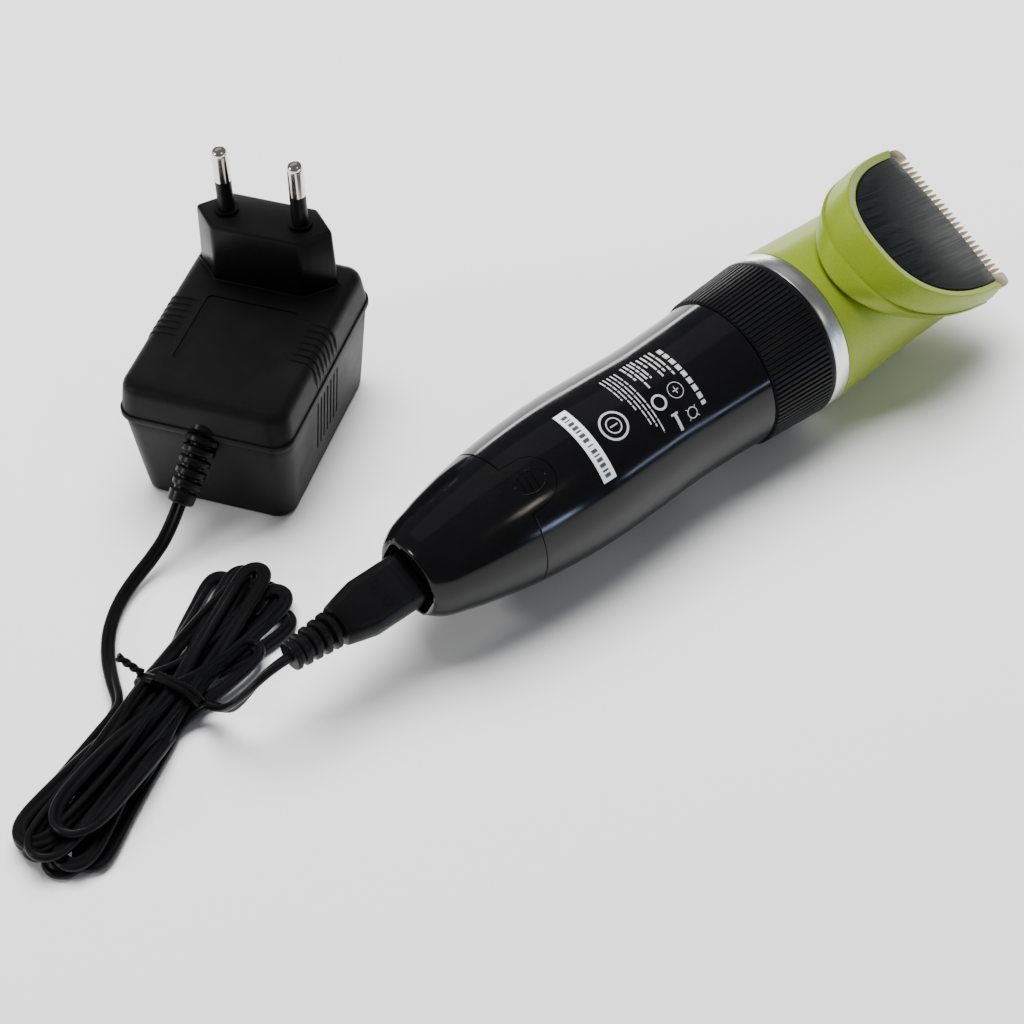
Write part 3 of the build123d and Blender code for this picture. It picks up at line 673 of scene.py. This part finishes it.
# ------------------------------ tail cap, its mouth and tongue
def mouth_r(grow, angle):
    """Distance from the axis to the rounded opening at an angle."""
    c, s = abs(math.cos(angle)), abs(math.sin(angle))
    return ((c / (8.0 + grow)) ** 4.5 + (s / (6.4 + grow)) ** 4.5) ** (-1 / 4.5)


def tail_cap():
    stations = [(x, r, None) for x, r in stretch(CAP_SEAM - 0.3, -121.0, 34)]
    stations = [(CAP_SEAM - 0.15, 15.0, None), (CAP_SEAM - 0.15, body_r(CAP_SEAM) - 0.18, None)] + stations
    stations += [(-121.38, 9.42, None), (-121.5, 9.12, None), (-121.5, None, 0.55), (-121.38, None, 0.2),
                 (-121.1, None, 0.03), (-120.6, None, 0.0), (-117.2, None, 0.0), (-117.0, None, 0.3)]
    stations += [(-116.8, 10.8, None), (-112, 12.0, None), (-103.5, 14.2, None), (-99, 14.9, None)]
    steps = 144
    rings = []
    for x, r, grow in stations:
        angles = [2 * math.pi * i / steps for i in range(steps)]
        rings.append([(x, (r or mouth_r(grow, a)) * math.cos(a), (r or mouth_r(grow, a)) * math.sin(a))
                      for a in angles])
    verts = [v for ring in rings for v in ring]
    n, m = len(rings), steps
    faces = [(i * m + j, i * m + (j + 1) % m, (i + 1) % n * m + (j + 1) % m, (i + 1) % n * m + j)
             for i in range(n) for j in range(m)]
    cap = piece("tail_cap_shell", verts, faces)
    over = stretch(-97.4, -84.0, 16) + stretch(-84.0, -97.4, 8, WALL)
    tongue = lathe("tongue", over, 40, CLIPPER, 32, 60, 120)
    cut(tongue, prism("tongue_edge", tongue_outline(0), 8, 24), "INTERSECT")
    cut(cap, tongue, "UNION")
    tidy(cap, 32)
    return give(cap, "tail_cap", CAP, "cap", "tail_cap")


tail_cap()


def on_body(u, v, lift):
    """Point on the handle's label side: u along it, v round it from the middle line."""
    r = body_r(u)
    angle = math.pi / 2 - v / r
    return (u, (r + lift) * math.cos(angle), (r + lift) * math.sin(angle))


def bead(name, line, width, lift, loop=False, section=None):
    """Raised line over the handle's surface through (u, v) points."""
    n = len(line)
    section = section or [(-0.5, -0.1), (-0.5, 0.0), (-0.34, lift * 0.75), (0.0, lift), (0.34, lift * 0.75),
                          (0.5, 0.0), (0.5, -0.1)]
    rings = []
    for i, (u, v) in enumerate(line):
        a = line[(i - 1) % n] if loop or i else line[0]
        b = line[(i + 1) % n] if loop or i < n - 1 else line[-1]
        du, dv = b[0] - a[0], b[1] - a[1]
        long = math.hypot(du, dv)
        rings.append([on_body(u - dv / long * o * width, v + du / long * o * width, h) for o, h in section])
    if loop:
        rings.append(rings[0])
    return skin(name, rings, CLIPPER, 50, not loop)


FLAT_PRINT = [(-0.5, -0.1), (-0.5, 0.03), (0.5, 0.03), (0.5, -0.1)]


def mark(line, width, loop=False):
    """Thin print over the surface, drawn along a line."""
    return bead("mark", line, width, 0.03, loop, FLAT_PRINT)


def circle(u, v, r, count=48):
    return [(u + r * math.cos(2 * math.pi * i / count), v + r * math.sin(2 * math.pi * i / count))
            for i in range(count)]


def dashes(u, v0, v1, lengths, gap, width):
    """Row of short bars round the handle, from v0 towards v1."""
    row, v, k = [], v0, 0
    while v > v1:
        stop = max(v - lengths[k % len(lengths)], v1)
        count = max(2, int((v - stop) / 0.9) + 2)
        row.append(mark([(u, a) for a in np.linspace(v, stop, count)], width))
        v, k = stop - gap, k + 1
    return row


# oval grip with three raised lines on the tongue
oval = [(-90.9 + 3.9 * math.cos(t), 0.1 + 2.7 * math.sin(t))
        for t in np.linspace(0, 2 * math.pi, 40, endpoint=False)]
grip = [bead("line", oval, 0.42, 0.24, True)]
for u, half in ((-93.0, 2.0), (-91.3, 2.6), (-89.6, 2.4)):
    grip.append(bead("line", [(u + 0.08 * v, v) for v in np.linspace(-half, half, 9)], 0.55, 0.36))
give(join("tongue_grip", grip, 50), "tail_cap", CAP, "cap")

# white sticker with a row of plain bars, and grey generic marks
sticker_r = [(x, body_r(x) + 0.13) for x in (-76.0, -75.2, -74.1, -73.0, -72.3)]
sticker = lathe("label_sticker_sheet", sticker_r + [(x, r - 0.12) for x, r in sticker_r[::-1]], 30, CLIPPER,
                32, 59.5, 120.5)
give(sticker, "handle", PAPER, "label", "label_sticker")
bars, v = [], 8.6
for long, gap in ((0.9, 0.5), (0.4, 0.6), (0.9, 0.5), (0.9, 0.4), (0.5, 0.6), (0.9, 0.5), (0.9, 0.9),
                  (0.35, 0.9), (0.9, 0.5), (0.4, 0.5), (0.9, 0.5), (0.9, 0.6), (0.5, 0.5), (0.9, 0.4)):
    bars.append(bead("bar", [(-75.0, v - long / 2), (-73.4, v - long / 2)], long, 0.15, False,
                     [(-0.5, 0.05), (-0.5, 0.155), (0.5, 0.155), (0.5, 0.05)]))
    v -= long + gap
give(join("label_bars", bars), "handle", INK, "label")
marks = [mark(circle(-66.1, 0, 3.45, 64), 0.55, True), mark(circle(-66.1, 0, 1.9, 40), 0.3, True),
         mark([(-67.2, 0), (-65.0, 0)], 0.3), mark(circle(-47.1, -0.8, 2.0), 0.16, True),
         mark([(-48.0, -0.8), (-46.2, -0.8)], 0.22), mark([(-47.1, -1.7), (-47.1, 0.1)], 0.22),
         mark(circle(-52.7, -1.2, 1.75), 0.55, True), mark([(-52.0, -5.4), (-50.0, -5.4)], 0.5),
         mark([(-50.9, a) for a in np.linspace(-5.6, -9.7, 6)], 0.85),
         mark(circle(-46.4, -7.4, 1.3), 0.22, True), mark([(-47.9, -8.8), (-44.9, -6.0)], 0.16),
         mark([(-44.9, -8.8), (-47.9, -6.0)], 0.16)]
marks += dashes(-42.5, 10.4, -7.2, (1.5, 1.5, 1.6, 1.5), 0.55, 1.25)
for u, v0, v1, longs in ((-44.5, 11.4, 2.5, (2.1, 3.2, 1.4)), (-45.8, 11.5, 4.4, (3.0, 2.2)),
                         (-47.1, 11.5, 3.6, (2.4, 2.8)), (-48.4, 11.5, 7.3, (2.2, 1.2)),
                         (-49.8, 12.0, 4.8, (1.8, 1.2, 2.4)), (-50.9, 12.0, 5.2, (2.6, 1.1)),
                         (-52.1, 12.0, 2.6, (1.9, 1.3, 2.8)), (-53.3, 11.9, 6.4, (2.2, 1.6))):
    marks += dashes(u, v0, v1, longs, 0.4, 0.5)
for u, v0, v1, longs in ((-55.6, 11.5, -7.8, (3.2, 1.4, 2.2)), (-56.7, 11.6, -5.6, (2.4, 1.8, 3.0)),
                         (-57.8, 11.6, -4.8, (1.6, 2.6, 2.0)), (-58.9, 11.7, 0.2, (3.0, 1.4)),
                         (-60.0, 11.7, 3.9, (2.2, 1.8))):
    marks += dashes(u, v0, v1, longs, 0.35, 0.34)
give(join("label_marks", marks), "handle", PRINT, "label")

# ------------------------------ length ring with its fine ribs, silver band
RIBS = 96


def ring_r(x):
    return 19.76 + (x - RING_REAR) * (21.03 - 19.76) / (RING_FRONT - RING_REAR)


ring_outline = [(-23.35, 17.7), (-23.35, 19.1), (-23.2, 19.35), (-22.8, ring_r(-22.8) - 0.42),
                (-6.3, ring_r(-6.3) - 0.42), (-6.05, ring_r(-6) - 0.1), (-5.85, ring_r(-6) + 0.02),
                (-5.05, ring_r(-5)), (-4.75, ring_r(-4.75) - 0.18), (-4.65, ring_r(-4.65) - 0.5),
                (-4.65, 17.7)]
ring = lathe("ring_core", ring_outline, 192, CLIPPER, 28)
rib_rings = []
for x, less in ((-23.3, 0.42), (-23.15, 0.12), (-22.8, 0.0), (-14.5, 0.0), (-6.6, 0.0), (-6.1, 0.04),
                (-5.9, 0.25)):
    r = ring_r(x) - less
    rib_rings.append([(x, -0.52, r - 0.5), (x, -0.47, r - 0.12), (x, -0.33, r), (x, 0.33, r),
                      (x, 0.47, r - 0.12), (x, 0.52, r - 0.5)])
ribs = array("ring_ribs", skin("rib", rib_rings, NOWHERE, 28), RIBS, (0, 0, 0), 2 * math.pi / RIBS, RUBBER,
             CLIPPER, 28)
give(join("length_ring_ribbed", [ring, ribs], 28), "length_ring", RUBBER, "ring_rubber", "length_ring")

band = lathe("silver_band",
             [(-4.5, 17.66), (-4.5, 20.62), (-4.38, 20.86), (-4.1, 21.0), (-0.45, 21.0), (-0.14, 20.86),
              (0, 20.62), (0, 17.66)], 192, CLIPPER, 40)
give(band, "handle", CHROME, "trim", "chrome_ring")

# ------------------------------ blade axes: x back along the blade, z out of it
tilt_c, tilt_s = math.cos(BLADE_SLOPE), math.sin(BLADE_SLOPE)
BLADE = CLIPPER @ Matrix(((-tilt_c, 0, tilt_s, BLADE_REF[0]), (0, -1, 0, 0),
                          (tilt_s, 0, tilt_c, BLADE_REF[1]), (0, 0, 0, 1)))
CHIN = CLIPPER @ Matrix.Translation((47.3, 0, 1.5)) @ Matrix.Rotation(math.radians(38), 4, "Y")


def hood():
    outer = [(0.0, 0.0), (0.0, 17.7), (0.0, 20.62), (0.12, 20.85),
             (0.4, 20.93)] + through(HOOD, 24)[1:] + [(52, 0.0)]
    shell = lathe("hood", outer, 160)
    inside = lathe("hood_inside", [(-1, 0.0), (-1, 18.95)] + [(x, r - 2.0) for x, r in through(HOOD, 12)]
                   + [(52, 0.0)], 96)
    cut(inside, slab("chin_inside", (-2.0, 60), (-60, 60), (-60, 60), CHIN))
    cut(shell, slab("chin", (0, 60), (-60, 60), (-60, 60), CHIN))
    cut(shell, inside)
    cut(shell, slab("above_base", (-30, 90), (-60, 60), (-9.7, 60), BLADE))
    soften(shell, 0.35, 2, 35, 32)
    collar = lathe("collar", [(0.05, 17.7), (0.05, 19.0), (6, 19.0), (6, 17.7)], 96)
    post = lathe("post", [(-17.5, 0), (-17.5, 2.8), (-3.9, 3.0), (-3.8, 2.9), (-3.8, 0)], 32,
                 CLIPPER @ Matrix.Translation((16, 0, 0)) @ Matrix.Rotation(math.radians(-90), 4, "Y"))
    return give(join("hood_shell", [shell, collar, post], 32), "handle", GREEN, "hood", "head_housing")


hood()


# ------------------------------ blade frame, plate and blades
def d_point(half, rear, power, t, front=BLADE_FRONT):
    c = math.cos(t)
    return (front + (rear - front) * max(0.0, math.sin(t)) ** (2 / power),
            math.copysign(half * abs(c) ** (2 / power), c))


FRAME_LEVELS = [(20.6, 58.4, -9.60, 2.0), (21.15, 59.3, -9.55, 2.0), (21.5, 59.7, -9.3, 2.0),
                (21.75, 59.75, -8.95, 2.05), (21.95, 59.45, -8.6, 2.1), (22.55, 58.3, -7.3, 2.25),
                (23.1, 57.1, -6.0, 2.4), (23.2, 56.6, -5.55, 2.5), (23.0, 56.1, -5.32, 2.5),
                (22.7, 55.62, -5.30, 2.5), (22.95, 55.45, -4.9, 2.5), (23.15, 55.2, -4.4, 2.5),
                (23.15, 54.5, -3.2, 2.5), (23.0, 53.2, -1.4, 2.5), (22.75, 52.0, 0.1, 2.5),
                (22.5, 51.4, 0.62, 2.5), (22.25, 50.95, 0.74, 2.5), (21.9, 50.2, 0.55, 2.5),
                (21.2, 48.6, 0.15, 2.5), (20.66, 47.15, -0.10, 2.5), (20.6, 47.0, -0.4, 2.5),
                (20.6, 47.0, -1.5, 2.5), (19.4, 42.6, -1.5, 2.5), (19.4, 42.6, -9.6, 2.5)]


def blade_frame():
    steps = 128
    rings = []
    for i in range(steps + 1):
        t = math.pi * i / steps
        rings.append([(*d_point(half, rear, power, t), h) for half, rear, h, power in FRAME_LEVELS])
    parts = [skin("frame_rim", rings, BLADE, 32)]
    sill = slab("sill", (BLADE_FRONT, 14.4), (-20.4, 20.4), (-9.6, -7.2), BLADE)
    parts.append(soften(sill, 0.35))
    parts += [slab("cheek", (26.6, 36.0), ys, (-9.6, -1.7), BLADE) for ys in ((-16.8, -11.5), (11.5, 16.8))]
    parts.append(slab("saddle", (14.4, 24.3), (-19.5, 19.5), (-7.0, -5.2), BLADE))
    return give(join("blade_frame_shell", parts, 32), "blade_head", GREEN, "hood", "blade_frame")


blade_frame()


def plate_front(y):
    return 10.1 + 1.8 * (y / 24) ** 2


def blade_plate():
    steps = 96
    rear = [d_point(20.5, 46.9, 2.5, math.pi * i / steps, 9.0) for i in range(steps + 1)]
    rear = [(s, y) for s, y in rear if s > plate_front(y)]
    ends = rear[-1][1], rear[0][1]
    front = [(plate_front(y), y) for y in np.linspace(ends[0], ends[1], 40)[1:-1]]
    plate = prism("black_plate", rear + front, -0.8, 0.0, BLADE, 60)
    soften(plate, 0.16, 2, 50)
    return give(plate, "blade_head", PLATE, "plate", "blade_plate")


blade_plate()


def tooth(name, low, high, point, root):
    """One pointed tooth: wide foot, slim rounded tip, bevelled upper edges."""
    rings = []
    for s, half, drop in ((root, 0.66, 0.0), (point + 4.0, 0.56, 0.0), (point + 1.2, 0.36, 0.05),
                          (point + 0.35, 0.20, 0.14), (point, 0.08, 0.26)):
        top = high - drop
        edge = min(0.12, half * 0.5)
        rings.append([(s, -half, low), (s, -half, top - edge), (s, -half + edge, top), (s, half - edge, top),
                      (s, half, top - edge), (s, half, low)])
    return skin(name, rings, NOWHERE, 40)


def lug(side):
    """Rounded end of the fixed blade beside its last tooth."""
    bulge = [(7.2, 22.7), (6.2, 22.62), (5.2, 22.3), (4.45, 21.75), (3.95, 20.9), (3.75, 20.0), (3.9, 19.35),
             (4.6, 18.95)]
    outline = [(12.6, 18.2), (12.6, 22.7)] + bulge + [(8.0, 18.6), (11.0, 18.35)]
    solid = prism("lug", [(s, y * side) for s, y in outline], -1.6, -0.8, BLADE, 40)
    return soften(solid, 0.2, 2, 40)


def blades():
    teeth = array("teeth", tooth("tooth", -1.6, -0.8, 3.6, 12.0), TEETH, (0, PITCH, 0), 0.0, GOLD,
                  BLADE @ Matrix.Translation((0, -(TEETH - 1) / 2 * PITCH, 0)), 40)
    bed = prism("bed",
                [(11.5, -18.8), (11.5, 18.8), (13, 20.2), (24, 19.4), (33, 16.5), (33, -16.5), (24, -19.4),
                 (13, -20.2)], -1.6, -0.82, BLADE)
    give(join("fixed_blade_comb", [teeth, bed, lug(1), lug(-1)], 40), "blade_head", GOLD, "gold_blade",
         "fixed_blade")
    count = TEETH - 2
    under = array("under", tooth("under_tooth", -2.85, -1.68, 4.9, 12.6), count, (0, PITCH, 0), 0.0, CUTTER,
                  BLADE @ Matrix.Translation((0, -(count - 1) / 2 * PITCH, 0)), 40)
    foot = [slab("foot", (11.0, 24), (-16.9, 16.9), (-2.9, -1.7), BLADE),
            slab("tail", (23, 34.5), (-8, 8), (-2.9, -1.72), BLADE)]
    foot = [soften(part, 0.25) for part in foot]
    give(join("moving_cutter_comb", [under] + foot, 40), "moving_cutter", CUTTER, "cutter", "moving_cutter")


blades()

# ------------------------------ switch under the handle
knob = soften(slab("switch_knob", (-52, -36), (-5.6, 5.6), (-21.33, -18.8)), 0.9, 3)
grooves = array("grooves", slab("groove", (-48.2, -47.4), (-3.6, 3.6), (-22, -20.93), NOWHERE), 5, (2, 0, 0),
                0.0, INNER)
cut(knob, grooves)
stem = soften(slab("stem", (-47.6, -41.4), (-1.5, 1.5), (-19.2, -14.4)), 0.2)
give(join("switch_slider", [knob, stem], 40), "power_switch", CAP, "switch", "power_switch")


# ------------------------------ connector in the tail and its relief
def grip_ring(x, half_y, half_z, corner):
    return [(x, y, z) for y, z in round_box(half_y, half_z, corner, 7)]


plug_rings = [(-105.6, 4.4, 1.8, 0.6), (-105.5, 4.6, 2.0, 0.6), (-112.4, 4.7, 2.1, 0.6),
              (-112.5, 6.0, 3.4, 1.9), (-112.8, 6.2, 3.6, 2.1), (-121.9, 6.2, 3.6, 2.1),
              (-122.1, 6.35, 3.85, 2.3), (-122.35, 6.6, 4.1, 2.5), (-124.5, 6.6, 4.1, 2.5),
              (-124.6, 6.48, 3.98, 2.4), (-124.95, 6.48, 3.98, 2.4), (-125.05, 6.6, 4.1, 2.5),
              (-134.2, 6.6, 4.1, 2.5), (-134.9, 6.5, 4.05, 2.5), (-138.5, 5.75, 3.8, 2.7),
              (-141.7, 4.95, 3.5, 2.7), (-142.1, 4.6, 3.2, 2.6)]
give(skin("connector_body", [grip_ring(*ring) for ring in plug_rings], CLIPPER, 34), "charger", PVC,
     "connector", "charge_connector")
mark_rings = []
for y in (-2.4, 2.4):
    loop = [(-130.3 + 1.25 * math.cos(t), y + 0.8 * math.sin(t))
            for t in np.linspace(0, 2 * math.pi, 24, endpoint=False)]
    rings = []
    for i, (x, yy) in enumerate(loop):
        out = Vector((x + 130.3, yy - y)).normalized()
        rings.append([(x - out.x * 0.12, yy - out.y * 0.12, 4.0), (x, yy, 4.2),
                      (x + out.x * 0.12, yy + out.y * 0.12, 4.0)])
    mark_rings.append(skin("mark", rings + rings[:1], CLIPPER, 60, False))
give(join("connector_marks", mark_rings, 60), "charger", PVC, "connector")


def ribbed(x0, x1, r0, r1, core, first, pitch, wide, count, place, name):
    """Tapering relief with rounded rings and the narrow slots between them."""
    outline = [(x0, 0.0)]
    for x in np.linspace(x0, x1, 131):
        r = r0 + (r1 - r0) * (x - x0) / (x1 - x0)
        for k in range(count):
            away = abs(x - (first + k * pitch))
            if away < wide / 2 + 0.35:
                r = min(r, core + (r - core) * max(0.0, min(1.0, (away - wide / 2 + 0.12) / 0.4)) ** 0.6)
        edge = min(x - x0, x1 - x)
        r -= 0.3 * max(0.0, 1 - edge / 0.4) ** 2
        outline.append((float(x), float(r)))
    return lathe(name, outline + [(x1, 0.0)], 40, place, 30)


relief = ribbed(-155, -142, 3.55, 4.7, 3.0, -153.1, 2.6, 1.05, 5, CLIPPER, "connector_relief")
give(relief, "charger", PVC, "connector", "connector_strain_relief")

# ------------------------------ adapter: middle, half sizes, lip and top heights
ADAPTER_X, ADAPTER_Y = 1.06, (-49.2 + 9.6) / 2
ADAPTER_HALF = (22.1, 29.4)
LIP, TOP = 25.8, 36.2
RIDGES, RIDGE_PITCH = 7, -2.15


def box_ring(z, inset, corner):
    return [(x + ADAPTER_X, y + ADAPTER_Y, z)
            for x, y in round_box(ADAPTER_HALF[0] - inset, ADAPTER_HALF[1] - inset, corner, 10)]


def inset_at(z):
    return 2.8 - 2.2 * z / LIP


lower = [box_ring(0, 4.3, 3.6)]
lower += [box_ring(1.2 - 1.2 * math.cos(a), 2.8 + 1.2 - 1.2 * math.sin(a), 4.9 - 1.2 + 1.2 * math.sin(a))
          for a in np.radians([0, 18, 36, 54, 72, 90])]
lower += [box_ring(z, inset_at(z), 5) for z in (6, 12, 18, 23, LIP - 0.5)]
lower += [box_ring(LIP - 0.22, 0.72, 4.9), box_ring(LIP - 0.15, 1.0, 4.6), box_ring(LIP - 0.15, 2.6, 3.2),
          box_ring(2.2, 5.2, 3.2)]
bottom = skin("adapter_lower", lower, CHARGER, 34)
slots = array("slots", slab("slot", (18.5, 24.5), (-0.42, 0.42), (8.0, 23.4), NOWHERE), RIDGES,
              (0, RIDGE_PITCH, 0), 0.0, INNER, CHARGER @ Matrix.Translation((0, -15.2, 0)))
floor_of_slots = skin("slot_floor", [box_ring(z, inset_at(z) + 0.75, 4.6) for z in (7, 25)], CHARGER)
cut(slots, floor_of_slots)
cut(bottom, slots)
tidy(bottom, 34, False)
give(bottom, "charger", ADAPTER, "adapter", "adapter_bottom_shell")

upper = [box_ring(33.9, 3.4, 3.0), box_ring(LIP + 0.1, 2.2, 3.2), box_ring(LIP + 0.1, 0.35, 4.8),
         box_ring(LIP + 0.2, 0.1, 5), box_ring(LIP + 0.5, 0.0, 5), box_ring(LIP + 1.6, 0.0, 5),
         box_ring(LIP + 1.85, 0.1, 5), box_ring(LIP + 1.95, 0.42, 4.9), box_ring(30.5, 0.66, 5),
         box_ring(33.4, 1.0, 5)]
upper += [box_ring(33.4 + 2.8 * math.sin(a), 1.05 + 2.8 - 2.8 * math.cos(a), 5 - 2.8 + 2.8 * math.cos(a))
          for a in np.radians([12, 26, 40, 54, 68, 80, 90])]
upper.append(box_ring(TOP, 5.4, 1.6))
top = skin("adapter_upper", upper, CHARGER, 34)
panel = prism("panel", [(x + 0.9, y - 24.0) for x, y in round_box(11.9, 11.6, 1.4, 6)], 35.85, 40, CHARGER)
cut(top, panel)
tidy(top, 34, False)
SHOULDER = [(12.0, TOP), (14.5, TOP), (16.9, TOP - 0.02), (18.3, 35.85), (19.4, 34.9), (20.05, 33.5),
            (20.35, 31.6), (20.7, 28.6)]
ridges = []
for side in (-1, 1):
    path = [(side * (x + ADAPTER_X) + ADAPTER_X, z) for x, z in SHOULDER]
    rings = []
    for i, (x, z) in enumerate(path):
        a, b = Vector(path[max(i - 1, 0)]), Vector(path[min(i + 1, len(path) - 1)])
        along = (b - a).normalized()
        out = Vector((-along.y, along.x)) * side
        low = 0.0 if 0 < i < len(path) - 1 else -0.5
        rings.append([(x + out.x * h, y, z + out.y * h)
                      for y, h in ((-0.62, -0.3), (-0.52, 0.1 + low), (-0.26, 0.4 + low), (0.26, 0.4 + low),
                                   (0.52, 0.1 + low), (0.62, -0.3))])
    ridges.append(array("ridges", skin("ridge", rings, NOWHERE, 50), RIDGES, (0, RIDGE_PITCH, 0), 0.0,
                        ADAPTER, CHARGER @ Matrix.Translation((0, -15.0, 0)), 50))
give(join("adapter_lid", [top] + ridges, 34), "charger", ADAPTER, "adapter", "adapter_top_shell")

hexagon = [(-17.65, 0), (-11.05, -6.85), (11.05, -6.85), (17.65, 0), (11.05, 6.85), (-11.05, 6.85)]
block_rings = [[(x * k, y * k, z) for x, y in hexagon] for z, k in ((35.9, 1.036), (53.1, 1.0))]
block = soften(skin("plug_body", block_rings, CHARGER), 0.9, 3)
foot = skin("plug_foot",
            [[(x * k, y * k, z) for x, y in hexagon]
             for z, k in ((35.9, 1.075), (36.45, 1.065), (36.7, 1.03))], CHARGER)
give(join("plug_tower", [block, soften(foot, 0.2)], 40), "charger", PVC, "adapter", "plug_block")

DROP = TABLE @ Vector(RELIEF_EXIT), TABLE @ Vector(RELIEF_END)
drop_turn = (DROP[1] - DROP[0]).to_track_quat("X", "Z").to_matrix().to_4x4()
ALONG_RELIEF = Matrix.Translation(DROP[0]) @ drop_turn @ Matrix.Scale(MM, 4)
drop_long = (DROP[1] - DROP[0]).length / MM
sleeve = ribbed(-6.0, drop_long, 4.75, 3.2, 2.6, -0.4, 2.75, 0.95, 6, ALONG_RELIEF, "adapter_relief")
give(sleeve, "charger", PVC, "adapter", "adapter_strain_relief")


# ------------------------------ wire tie round the hank
def wire(name, points, radius):
    data = bpy.data.curves.new(name, "CURVE")
    data.dimensions, data.resolution_u, data.bevel_depth, data.bevel_resolution = "3D", 6, radius * MM, 3
    data.use_fill_caps = True
    spline = data.splines.new("NURBS")
    spline.points.add(len(points) - 1)
    for slot, point in zip(spline.points, points):
        slot.co = (*(TABLE @ Vector(point)), 1)
    spline.order_u, spline.use_endpoint_u = 4, True
    line = bpy.data.objects.new(name, data)
    bpy.context.collection.objects.link(line)
    bpy.context.view_layer.update()
    mesh = bpy.data.meshes.new_from_object(line)
    bpy.data.objects.remove(line)
    obj = bpy.data.objects.new(name, mesh)
    bpy.context.collection.objects.link(obj)
    return tidy(obj, 60)


ties = []
for k in (0, 1):
    around = []
    for i in range(21):
        a = math.radians(70 + 18 * i)
        around.append(on_hank(1.2 + 1.3 * k + 0.9 * math.sin(a * 0.5), 7.9 * math.cos(a) * (1 + 0.03 * k), 5.0
                              + 4.35 * math.sin(a)))
    twist = [on_hank(2.0 + 0.6 * math.cos(math.pi * k + 1.5 * i), 6.6 + 0.85 * i, 8.6 + 0.35 * i
                     + 0.6 * math.sin(math.pi * k + 1.5 * i)) for i in range(8)]
    ties += [wire("tie_turn", around, 0.8), wire("tie_twist", twist, 0.62)]
give(join("wire_tie", ties, 60), "charger", PVC, "lead", "cord_tie")

# ------------------------------ finishes of the CAD's own parts
FINISH = {
    CHROME: ["blade_screws", "housing_screws", "adapter_screws", "lever_pin"],
    STEEL: ["motor", "motor_shaft", "eccentric_cam", "blade_spring", "depth_rod", "switch_body"],
    NICKEL: ["plug_pins", "battery_contacts", "connector_contacts"],
    PVC: ["pin_sleeves", "cutter_drive_block"],
    INNER: ["motor_mount", "drive_lever", "blade_carriage", "charge_socket"],
    BOARD: ["circuit_board", "rectifier_board"], CELL: ["battery_cell_left", "battery_cell_right"],
    LENS: ["light_guide"], IRON: ["transformer_core"], COPPER: ["transformer_windings"],
}
for finish, nodes in FINISH.items():
    for node in nodes:
        target = bpy.data.objects[node]
        if not target.material_slots:
            target.data.materials.append(finish)
        for slot in target.material_slots:
            slot.material = finish
